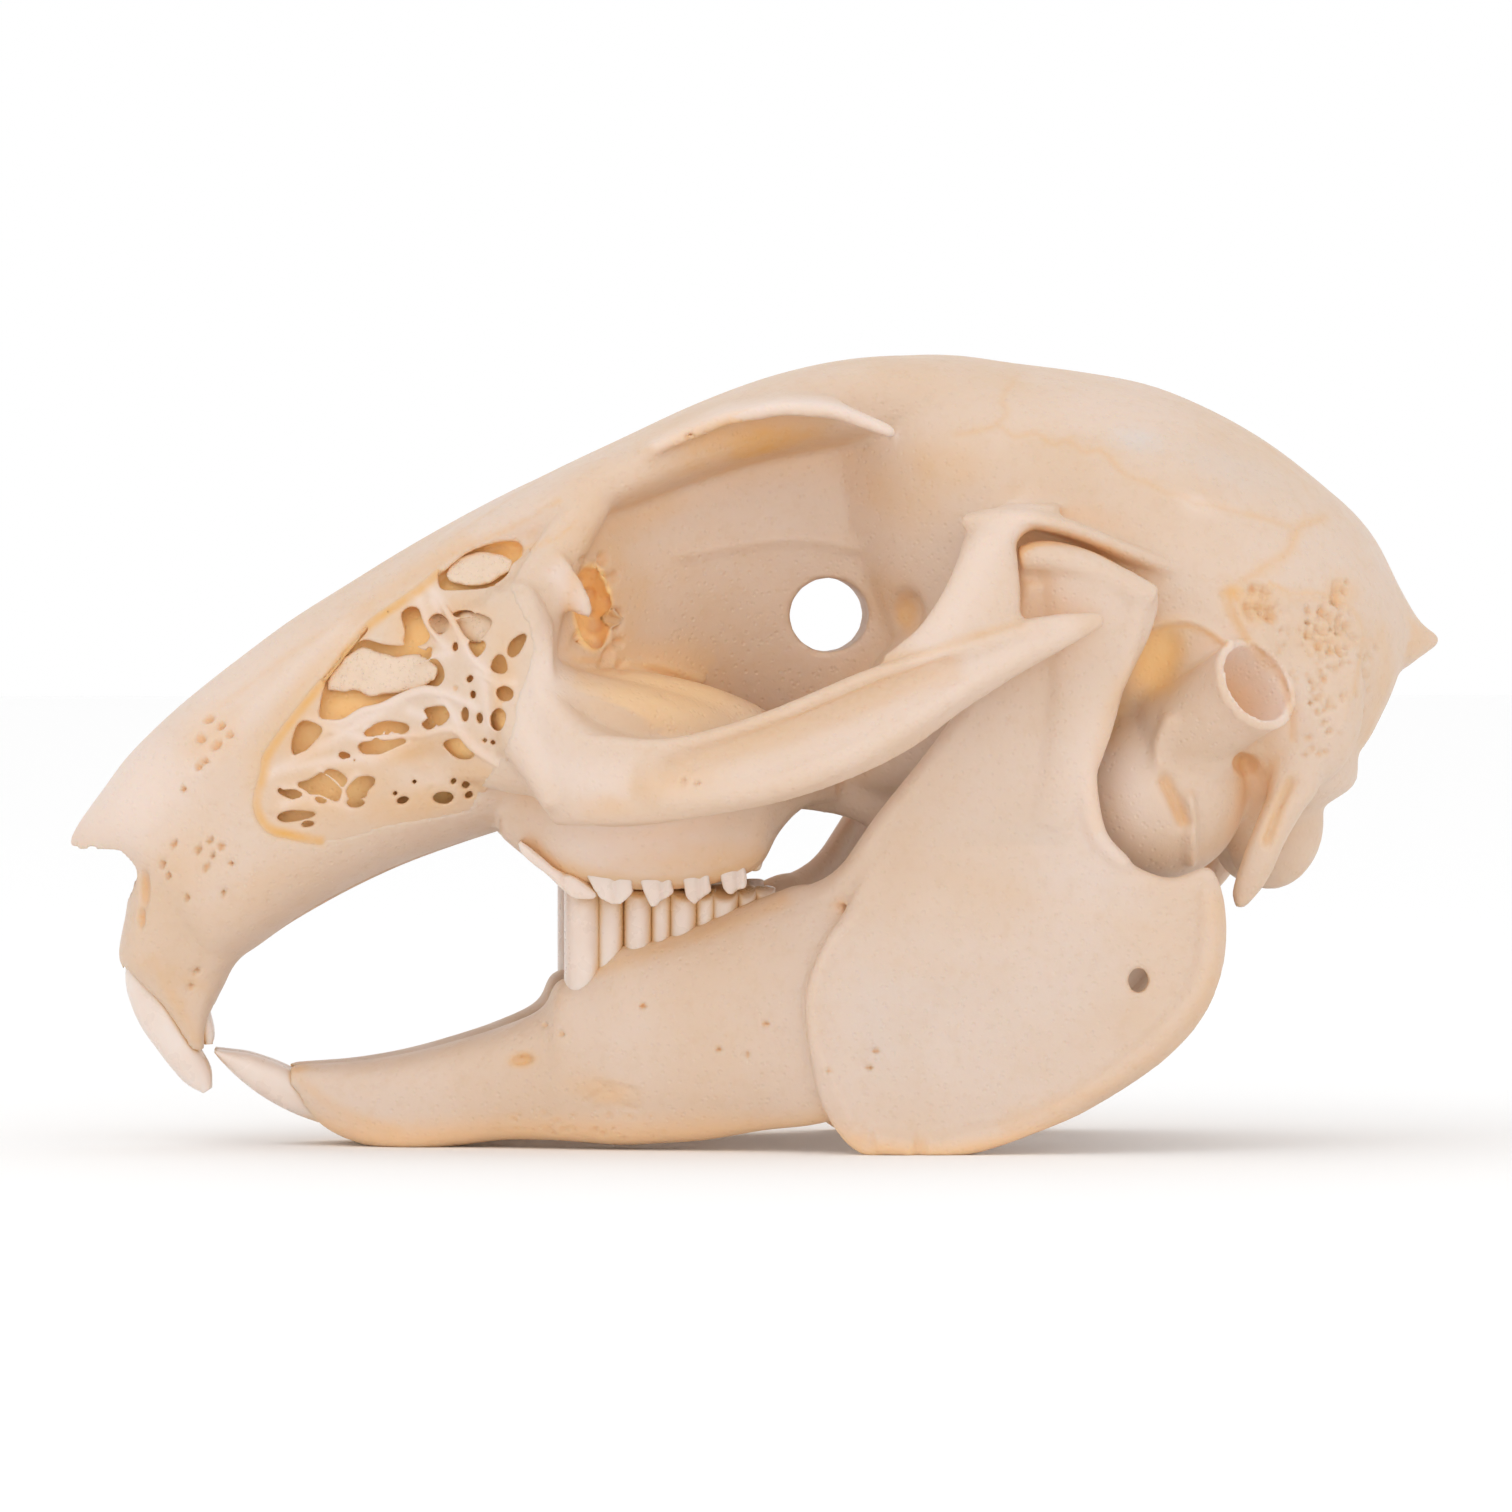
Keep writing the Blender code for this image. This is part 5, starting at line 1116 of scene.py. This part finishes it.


# Finishes: where the bone is stained or grey, and where warm shade, light and a golden glow are painted on
# it, is drawn in side view. A line is (path, half width, amount, near, far) and a spot is ((x, z, half
# length, half height, tilt), amount, near, far), where near and far are the distances from the middle between
# which it lies.

# Warm colour: real stains along sutures and edges, and painted warm shade and glow in hollows, slots and
# pockets
STAIN_AND_GLOW_LINES = [
    (WINDOW_RIM, 0.26, 1, 4, 11),
    ([(-17.5, 30), (-15.5, 31.3), (-13, 32.4), (-10.6, 33.8)], 0.16, 0.45, 4, 11),
    ([(-12.6, 31.2), (-11.4, 31.6), (-10.2, 32.2), (-9.6, 32.9)], 0.16, 0.5, 4, 11),
    (JUGAL_SUTURE, 0.25, 0.35, 13, 18),
    ([(-9.2, 24.2), (-9.9, 25.6), (-10.2, 27.4), (-9.9, 29.6), (-9, 32.2)], 0.35, 0.4, 6, 12),
    ([(-9.4, 25.5), (-7.4, 25.4), (-5.2, 25.1), (-3.6, 24.7)], 0.3, 0.55, 3, 12),
    ([(-8.6, 24.9), (-6, 24.4), (-3.6, 24.2)], 0.4, 0.35, 3, 12),
    ([(-31.6, 9.7), (-30.3, 7.2), (-29.4, 5.6)], 0.35, 0.35, 1, 4),
    ([(-32.2, 9.6), (-31, 9.3), (-29.2, 8.4)], 0.4, 0.25, 1, 5),
    ([(-24.6, 4.1), (-22.9, 2.5), (-20.8, 1.4), (-19, 0.9)], 0.35, 0.3, 1, 6),
    ([(-11.6, 14.9), (-7, 14), (-2.5, 14.3), (0, 15.4)], 0.55, 0.5, 5, 12),
    ([(-10.2, 9.2), (-7.5, 9.8), (-5, 10.7), (-2, 11.8), (1, 13.1)], 0.45, 0.35, 4, 12),
    ([(17.9, 21.5), (18.6, 23.6), (19.4, 25)], 0.8, 0.6, 5, 12),
    (BULLA_SLIT, 0.3, 0.45, 5, 13),
    (JUGAL_GROOVE, 0.6, 0.22, 14, 18),
    ([(19.6, 26.75), (20.6, 27.1), (21.8, 27.3), (22.9, 26.9), (23.7, 26.3)], 0.16, 0.7, 5, 13),
    (MASTOID_EDGE, 0.2, 0.5, 5, 14),
    ([(26.1, 29.5), (27.2, 29.05), (28.7, 29), (30.3, 28.35), (31.2, 27), (30.95, 25.5), (30.6, 23.8)], 0.16,
      0.45, 3, 14),
    ([(-26.6, 18.5), (-26.2, 20.5), (-24.6, 23.2), (-22.6, 25.7), (-20.6, 28), (-18, 29.9), (-15.5, 31.6)],
      0.55, 0.3, 3, 12),
    (BACK_GROOVE, 0.4, 0.6, 5, 13),
    ([(12, 31), (13.2, 31.2), (14.6, 31.3), (17.5, 30.9)], 0.5, 0.6, 9, 14),
    ([(23.2, 13), (23.4, 10.4), (22.2, 7.2), (20.2, 5.1), (17.2, 3.3), (12.5, 1.6)], 0.7, 0.28, 9, 15),
    ([(17, 17), (17, 20), (17.9, 23.4), (19.4, 26)], 0.5, 0.25, 9, 15),
    ([(29.4, 32.9), (27.8, 32.4), (27.2, 31.2), (25.8, 30.3), (23.9, 29.1)], 0.3, 0.4, 0, 13),
    ([(23.9, 29), (24.1, 28.2), (24.7, 26.9), (26, 25.2)], 0.28, 0.55, 5, 14),
    ([(32.3, 27), (32.6, 24.6), (31.6, 21.2)], 0.5, 0.3, 0, 10),
    ([(28.9, 27.2), (30.6, 26.4), (32.2, 26.4)], 0.25, 0.35, 0, 12),
]
# Warm spots: mostly painted warm shade and glow in hollows, under the brow and in the jaw joint
STAIN_AND_GLOW_SPOTS = [
    ((-0.6, 36.9, 4.2, 1.3, 5), 0.95, 1, 9.4), ((-7.9, 28.4, 2.6, 5.6, 6), 0.55, 2, 9.4),
    ((-6, 33.5, 2.4, 2, 30), 0.3, 2, 9.4), ((-2.6, 35.9, 3, 1.1, 10), 0.6, 1, 9),
    ((-6.4, 23.2, 3.6, 1.7, 0), 0.3, 5, 14), ((0.6, 24.4, 6.4, 2, 8), 0.25, 1, 11),
    ((24.2, 29, 0.6, 0.5, 0), 0.9, 5, 13), ((20.2, 25.1, 1.2, 2, -25), 1, 5, 12.5),
    ((13, 31.6, 1.8, 0.8, 0), 0.6, 9, 14.5), ((-7.8, 26.6, 1.2, 1.2, 0), 0.5, 3, 10),
    ((7, 34.2, 2.6, 1.6, -20), 0.3, 2, 10), ((9.2, 35.6, 2.2, 1.4, 0), 0.3, 3, 12),
    ((6.8, 28.4, 1.6, 2, 0), 0.3, 1, 9), ((-5, 19.4, 2.4, 0.9, 8), 0.35, 13, 18),
    ((-8.4, 18, 1.6, 0.7, 0), 0.3, 13, 18), ((-3.6, 15.3, 4.6, 1.2, 3), 0.42, 6, 12),
    ((-4, 17, 5, 1.2, 3), 0.25, 6, 13), ((3, 20, 3, 2, 20), 0.4, 1, 9),
    ((-8.2, 3.1, 1.8, 0.7, -10), 0.4, 3, 12), ((-12.5, 4.7, 0.7, 0.4, 10), 0.8, 3, 12),
    ((-24.2, 4.1, 0.8, 0.35, 10), 0.6, 1, 6), ((25.3, 28.4, 1.3, 1.1, 0), 0.5, 5, 13),
    ((29, 27.1, 1.6, 1.2, 0), 0.4, 5, 13), ((30, 29, 1, 0.9, 0), 0.5, 3, 13),
    ((-2.5, 29, 6.5, 4.5, 0), 0.16, 1, 8), ((-4.5, 24.6, 5, 2.6, 0), 0.35, 2, 12),
    ((28.6, 36.2, 2, 0.8, -40), 0.15, 0, 8), ((34.6, 26.6, 1.2, 1.2, 0), 0.3, 0, 4),
    ((-28.6, 21.6, 1.6, 1.3, 50), 0.35, 2, 9), ((-30, 14.8, 2.4, 2, 60), 0.22, 2, 9),
    ((-26.5, 13.3, 3.6, 1.2, 30), 0.16, 2, 9),
]
# Painted light: paler where light falls on edges, ridges and plates
PAINTED_LIGHT_LINES = [
    ([(-5.5, 36.7), (-2, 38.25), (1.5, 38.8), (4, 38.5), (6.8, 37.2)], 0.35, 0.9, 6, 12),
    ([(-29.5, 19.8), (-25.8, 23.6), (-21.8, 27)], 0.8, 0.45, 3, 9),
    ([(-11.5, 25), (-12.2, 22), (-10.8, 19.8), (-7, 19.3)], 1.2, 0.5, 8, 16),
    ([(-5, 19), (0, 20.1), (5, 21.9), (10, 24.9), (15, 27.2)], 0.9, 0.4, 14, 18),
    ([(8.2, 26.4), (10, 29), (11.2, 31.4), (13, 33.2)], 1.2, 0.55, 10, 18),
    ([(-10.8, 30), (-9.9, 28.8), (-9.5, 27.8)], 0.5, 0.8, 9, 12),
    ([(23.6, 26.4), (25, 24.6), (26.8, 22.6)], 1, 0.5, 10, 15),
]
# Painted light: shaded places, such as the maxilla under the arch and the front of the bulla, lightened
PAINTED_LIGHT_SPOTS = [
    ((-6.5, 16.6, 4.5, 2.2, 5), 0.9, 3, 12), ((17.8, 19, 2.4, 4, 0), 0.7, 3, 14),
    ((-33, 18.6, 4, 3, 40), 0.7, 0, 8), ((-27, 24.4, 6, 1.4, 40), 0.4, 0, 6),
    ((22.3, 33.6, 1.2, 0.5, -20), 0.5, 3, 12), ((16, 38, 6, 2, -5), 0.2, 0, 9),
    ((15.5, 28.4, 2.5, 2, 0), 0.3, 9, 15),
]
GREY_SPOTS = [
    ((11.5, 9, 7, 5, 40), 0.75, 8, 15), ((13, 14, 4, 3.5, 60), 0.35, 8, 15),
    ((19.4, 36.9, 1.3, 0.6, -10), 0.7, 2, 12), ((24.5, 35.4, 3.2, 1, -20), 0.3, 2, 12),
    ((-12, 33, 1, 0.2, 30), 0.4, 2, 9),
]
TOP_SUTURES = [  # from above: x and the distance from the middle
    [(-35, 0), (-25, 0.03), (-14, 0), (-4, 0.04), (6, 0), (16, 0.05), (26.5, 0)],
    [(-12, 0), (-11.2, 0.8), (-11.6, 1.7), (-10.9, 2.6), (-11.8, 3.6), (-12.8, 4.5), (-15.5, 5), (-21, 4.8),
     (-27, 4.3), (-31.5, 3.6)],
    [(12.8, 0), (12.2, 0.9), (12.9, 1.8), (12.4, 2.7), (13.1, 3.6), (13, 4.6), (13.5, 5.6)],
    [(26.5, 0), (26.1, 1.2), (26.8, 2.4), (26.6, 3.8), (27.6, 5), (28.6, 6.2)],
]
TOP_LEVELS = (22, 50)  # the heights between which the sutures on top lie
# Painted golden glow, standing in for light that comes through thin bone in hollows
PAINTED_GLOW_SPOTS = [((20.3, 25.6, 1.2, 1.8, -25), 0.85, 5, 12.4), ((-5, 23.8, 4.4, 2.4, -6), 0.35, 3, 12)]
EAR_AXIS = (24, 11.2, 23.4), (26.4, 14.1, 25.2)  # two points on it
EAR_RADIUS = 2.25
EAR_REACH = (-2.2, 4)  # along the axis, from the first point
# Thin places of the lace that light comes through, where a warm glow is painted into the colour
LACE_GLOW = [
    (-22.6, 18.6, 3.2, 1.6, 12), (-18, 18, 3.2, 1, 5), (-15, 19.3, 1.4, 1.6, 20), (-18, 21, 3, 0.9, 8),
    (-13.6, 24.4, 0.8, 3, 0), (-18.2, 27, 1.4, 1.6, -20), (-23.6, 21.6, 1.4, 1.8, -30),
    (-15.6, 27.6, 1.6, 1.2, 0),
]


def paint(obj, name, values):
    layer = obj.data.attributes.new(name, "FLOAT", "POINT")
    layer.data.foreach_set("value", np.clip(values, 0, 1).astype(np.float32))


def from_above(points):
    """The points with height and breadth exchanged, so that a path can be drawn as seen from above."""
    return np.stack([points[:, 0], points[:, 2], abs(points[:, 1])], axis=1)


def strongest(points, lines=(), spots=()):
    """The greatest amount that the lines and spots give to each point."""
    most = np.zeros(len(points))
    for path, width, amount, near, far in lines:
        most = np.maximum(most, amount * stroke_weight(points, path, width, near, far))
    for spot, amount, near, far in spots:
        most = np.maximum(most, amount * spot_weight(points, spot, near, far))
    return most


def paint_lace_glow_and_light(lace):
    """Paints the lace: painted warm shade at its rim, a painted glow in its thin places, and painted light
    along its strands.
    """
    points, _ = points_and_normals(lace.data)
    glow = [(spot, 0.45, 2, 12) for spot in LACE_GLOW]
    paint(lace, "stain_and_glow", strongest(points, [(WINDOW_RIM, 0.3, 1, 2, 12)], glow))
    strands = [([(x, z) for x, z, _ in strand], 0.3, 0.7, 2, 12) for strand in STRANDS]
    paint(lace, "painted_light", strongest(points, strands))


def paint_stains_and_light(obj, wall=None):
    """Gives the mesh its amounts of warm colour (real stains and sutures, with painted warm shade and glow in
    hollows), of painted light and of grey stain, point by point, and the cranium its painted golden glow.
    """
    points, _ = points_and_normals(obj.data)
    sutures = [(path, 0.2, 0.3, 0, 13) for path in BRAIN_SUTURES]
    top_sutures = [(path, 0.2, 0.25, *TOP_LEVELS) for path in TOP_SUTURES]
    # Pits get more warm colour the deeper they are: painted shade
    pits = []
    for spot, depth, near, far in CRANIUM_SPOTS + JAW_SPOTS:
        pits.append((spot, min(1, abs(depth) * 1.6), near, far))
    # Warm colour: real stains and sutures, and painted warm shade and glow in hollows
    stain_and_glow = strongest(points, STAIN_AND_GLOW_LINES + sutures, STAIN_AND_GLOW_SPOTS + pits)
    stain_and_glow = np.maximum(stain_and_glow, strongest(from_above(points), top_sutures))
    # Painted light
    painted_light = strongest(points, PAINTED_LIGHT_LINES, PAINTED_LIGHT_SPOTS)
    if wall:
        # Painted light inside the ear tube
        painted_light = np.maximum(painted_light, 0.8 * in_ear(points))
        # Painted golden glow in hollows
        painted_glow = np.maximum(strongest(points, spots=PAINTED_GLOW_SPOTS), in_lacrimal_hollow(points))
        paint(obj, "painted_glow", np.maximum(painted_glow, in_pocket(points, wall)))
    paint(obj, "stain_and_glow", stain_and_glow)
    paint(obj, "painted_light", painted_light)
    paint(obj, "grey", strongest(points, spots=GREY_SPOTS))


def in_ear(points):
    """Whether each point is inside the ear tube."""
    x, y, z = points.T
    start, end = np.array(EAR_AXIS)
    axis = np.array(Vector(end - start).normalized())
    from_start = np.stack([x, abs(y), z], axis=1) - start
    along = from_start @ axis
    across = np.linalg.norm(from_start - np.outer(along, axis), axis=1)
    return (across < EAR_RADIUS) & (along > EAR_REACH[0]) & (along < EAR_REACH[1])


def in_lacrimal_hollow(points):
    """How much painted golden glow each point has in the hollow, which has a soft border round it."""
    x, y, z = points.T
    middle_x, middle_y, middle_z = LACRIMAL_HOLLOW
    reach = ((x - middle_x) / 1.15) ** 2 + ((abs(y) + middle_y) / 2.2) ** 2 + ((z - middle_z) / 2.25) ** 2
    return 0.9 * np.clip(3 * (1.2 - reach), 0, 1)


def in_pocket(points, wall):
    """How much painted golden glow each point has in the pocket behind the lace, by its depth below the
    surface: it stands in for light coming through the thin bone.
    """
    x, y, z = points.T
    within = inside(x, z, grown(POCKET, 0.1)) & (abs(y) > 2.5)
    depth = -abs(y[within]) - wall.y(x[within], z[within])
    painted_glow = np.zeros(len(points))
    painted_glow[within] = np.clip((depth - 0.3) / 0.5, 0, 1)
    return painted_glow


FLECKED = (0.60, 0.40, 0.24)
GREY = (0.62, 0.56, 0.53)
# Painted light: the paler tone
PAINTED_LIGHT_TONE = (0.78, 0.64, 0.56)
# Warm tone for real stains, and for painted warm shade and glow
STAIN_AND_GLOW_TONE = (0.72, 0.38, 0.10)
# Painted shade: the tone that hollows are tinted towards
SHADED_BONE = (0.92, 0.58, 0.30)
# Painted glow: golden tones for light coming through thin bone
GLOW_GOLDS = (1.0, 0.52, 0.15), (1.0, 0.68, 0.32)
ENAMEL = (0.74, 0.60, 0.51), (0.78, 0.67, 0.60)
# Painted shade between the teeth
SHADED_ENAMEL = (0.80, 0.50, 0.20)
FLOOR_WHITE = (0.98, 0.98, 0.98)
SHADE_SAMPLES = 8


def set_inputs(tree, node, inputs):
    """Sets each input: a socket is linked, and a constant is written. A colour has three parts."""
    for name, value in inputs.items():
        socket = node.inputs[name]
        if isinstance(value, bpy.types.NodeSocket):
            tree.links.new(value, socket)
        else:
            socket.default_value = (*value, 1) if socket.type == "RGBA" else value


def new_node(tree, kind, inputs, **settings):
    """A node with its settings and inputs."""
    node = tree.nodes.new(kind)
    for name, value in settings.items():
        setattr(node, name, value)
    set_inputs(tree, node, inputs)
    return node


def noise_of(tree, place, scale, detail=3.0, roughness=0.5):
    inputs = {"Vector": place, "Scale": scale, "Detail": detail, "Roughness": roughness}
    return new_node(tree, "ShaderNodeTexNoise", inputs).outputs["Fac"]


def ranged(tree, value, low, high, to_low, to_high):
    """The value, stretched from low..high to to_low..to_high and kept within them."""
    inputs = {"Value": value, "From Min": low, "From Max": high, "To Min": to_low, "To Max": to_high}
    return new_node(tree, "ShaderNodeMapRange", inputs).outputs["Result"]


def blended(tree, amount, first, second):
    """A mix of two colours, each a socket or a constant."""
    return new_node(tree, "ShaderNodeMix", {0: amount, 6: first, 7: second}, data_type="RGBA").outputs[2]


def amount_of(tree, name):
    return new_node(tree, "ShaderNodeAttribute", {}, attribute_name=name).outputs["Fac"]


def shade_painted_in_hollows(tree, colour, distance, start, full, most, tint):
    """The colour, with painted warm shade and glow where the surface is hemmed in by others nearer than the
    distance, and some real grease stain there.
    """
    node = new_node(tree, "ShaderNodeAmbientOcclusion", {"Distance": distance}, samples=SHADE_SAMPLES)
    return blended(tree, ranged(tree, node.outputs["AO"], start, full, 0, most), colour, tint)


def bumped(tree, height, strength, distance):
    inputs = {"Height": height, "Strength": strength, "Distance": distance}
    return new_node(tree, "ShaderNodeBump", inputs).outputs["Normal"]


def new_material(name):
    """A material with its node tree and its shader."""
    material = bpy.data.materials.new(name)
    material.use_nodes = True
    return material, material.node_tree, material.node_tree.nodes["Principled BSDF"]


def object_place(tree):
    return tree.nodes.new("ShaderNodeTexCoord").outputs["Object"]


def bone_material(name, cream, ivory, roughness, grain, pores, depth=0.001, share=0.2):
    """Dry bone: two tones in soft clouds, warmer in its real stains, with painted warm shade and glow in
    hollows, painted light, and a fine grain.

    Light goes into it as far as depth, and share is how much of it does.
    """
    material, tree, shader = new_material(name)
    place = object_place(tree)
    clouds = ranged(tree, noise_of(tree, place, 110), 0.35, 0.65, 0, 1)
    fine = noise_of(tree, place, 1500, 4, 0.6)
    colour = blended(tree, clouds, cream, ivory)
    colour = blended(tree, ranged(tree, fine, 0.5, 0.75, 0, 0.25), colour, FLECKED)
    colour = blended(tree, amount_of(tree, "grey"), colour, GREY)
    # Painted light
    colour = blended(tree, amount_of(tree, "painted_light"), colour, PAINTED_LIGHT_TONE)
    streaks = ranged(tree, noise_of(tree, place, 420, 4, 0.65), 0.3, 0.7, 0.45, 1.0)
    # Warm colour: real stains, and painted warm shade and glow in hollows
    inputs = {0: amount_of(tree, "stain_and_glow"), 1: streaks}
    stain_and_glow = new_node(tree, "ShaderNodeMath", inputs, operation="MULTIPLY").outputs[0]
    colour = blended(tree, stain_and_glow, colour, STAIN_AND_GLOW_TONE)
    # Painted warm shade in hollows
    colour = shade_painted_in_hollows(tree, colour, 0.003, 0.85, 0.3, 0.65, SHADED_BONE)
    # Painted golden glow
    colour = blended(tree, amount_of(tree, "painted_glow"), colour, blended(tree, streaks, *GLOW_GOLDS))
    cells = new_node(tree, "ShaderNodeTexVoronoi", {"Vector": place, "Scale": pores}).outputs["Distance"]
    inputs = {0: ranged(tree, cells, 0.0, 0.35, 0, 1), 1: 0.8, 2: fine}
    height = new_node(tree, "ShaderNodeMath", inputs, operation="MULTIPLY_ADD").outputs[0]
    set_inputs(tree, shader, {
        "Base Color": colour,
        "Roughness": ranged(tree, noise_of(tree, place, 500), 0.3, 0.7, roughness - 0.08, roughness + 0.1),
        "Subsurface Weight": share,
        "Subsurface Radius": (1.0, 0.5, 0.2),
        "Subsurface Scale": depth,
        "Normal": bumped(tree, height, grain, 0.00012),
    })
    return material


def tooth_material():
    """Enamel: two close tones, with painted warm shade between the teeth, and glossier than the bone."""
    material, tree, shader = new_material("enamel")
    place = object_place(tree)
    colour = blended(tree, ranged(tree, noise_of(tree, place, 350), 0.35, 0.65, 0, 1), *ENAMEL)
    set_inputs(tree, shader, {
        # Painted warm shade between the teeth
        "Base Color": shade_painted_in_hollows(tree, colour, 0.002, 0.8, 0.2, 0.8, SHADED_ENAMEL),
        "Roughness": ranged(tree, noise_of(tree, place, 900), 0.3, 0.7, 0.22, 0.38),
        "Subsurface Weight": 0.25,
        "Subsurface Radius": (1.0, 0.6, 0.4),
        "Subsurface Scale": 0.0008,
        "Normal": bumped(tree, noise_of(tree, place, 1800), 0.15, 0.0001),
    })
    return material


def floor_material():
    material, tree, shader = new_material("floor_white")
    set_inputs(tree, shader, {"Base Color": FLOOR_WHITE, "Roughness": 0.9})
    return material


# Floor, light and camera

FLOOR_SIZE = 3.0
SKULL_MIDDLE = (0, 0, 0.02)
WORLD_STRENGTH = 1.0
PHOTO_SIDE = 1512  # pixels
PHOTO_SCALE = 19000  # pixels a metre at the middle of the skull
CAMERA_DISTANCE = 0.6
CAMERA_AZIMUTH = math.radians(2.7)
CAMERA_ELEVATION = math.radians(1.2)
AIM_HEIGHT = 0.02035
SENSOR = 36.0


def build_stage():
    bpy.ops.mesh.primitive_grid_add(x_subdivisions=60, y_subdivisions=60, size=FLOOR_SIZE)
    floor = bpy.context.object
    floor.name = "floor"
    floor.data.materials.append(floor_material())


def area_light(name, place, size, power):
    """A square lamp that looks at the middle of the skull."""
    light = bpy.data.lights.new(name, "AREA")
    light.shape = "SQUARE"
    light.size = size
    light.energy = power
    obj = linked(name, light)
    obj.location = place
    obj.rotation_euler = (Vector(SKULL_MIDDLE) - Vector(place)).to_track_quat("-Z", "Y").to_euler()


def build_lights():
    world = bpy.data.worlds.new("studio")
    world.use_nodes = True
    background = world.node_tree.nodes["Background"]
    background.inputs["Color"].default_value = (1, 1, 1, 1)
    background.inputs["Strength"].default_value = WORLD_STRENGTH
    bpy.context.scene.world = world
    area_light("key", (-0.3, -0.4, 0.5), 0.3, 0.3)
    area_light("front", (0.04, -0.6, 0.06), 0.4, 0.7)
    bpy.context.scene.view_settings.view_transform = "Standard"


def build_camera():
    camera = bpy.data.cameras.new("camera")
    camera.sensor_width = SENSOR
    camera.lens = SENSOR * CAMERA_DISTANCE * PHOTO_SCALE / PHOTO_SIDE
    camera.clip_start = 0.01
    camera.clip_end = 10
    flat = math.cos(CAMERA_ELEVATION)
    across, along = math.sin(CAMERA_AZIMUTH) * flat, math.cos(CAMERA_AZIMUTH) * flat
    look = Vector((across, along, -math.sin(CAMERA_ELEVATION)))
    obj = linked("camera", camera)
    obj.location = Vector((0, 0, AIM_HEIGHT)) - look * CAMERA_DISTANCE
    obj.rotation_euler = look.to_track_quat("-Z", "Y").to_euler()
    bpy.context.scene.camera = obj


def main():
    bone = bone_material("bone", (0.67, 0.49, 0.355), (0.69, 0.535, 0.43), 0.5, grain=0.35, pores=2600)
    porous = bone_material("porous_bone", (0.72, 0.53, 0.38), (0.75, 0.58, 0.45), 0.65, grain=0.5, pores=5200)
    thin = bone_material(
        "thin_bone", (0.66, 0.47, 0.33), (0.69, 0.53, 0.41), 0.45, grain=0.25, pores=2600,
        depth=0.0003, share=0.15,
    )
    tooth = tooth_material()
    wall = build_cranium(bone)
    for side in SIDES:
        build_lace(side, wall, thin, porous)
        build_mandible(side, bone)
        build_teeth(side, tooth)
    build_stage()
    build_lights()
    build_camera()


main()
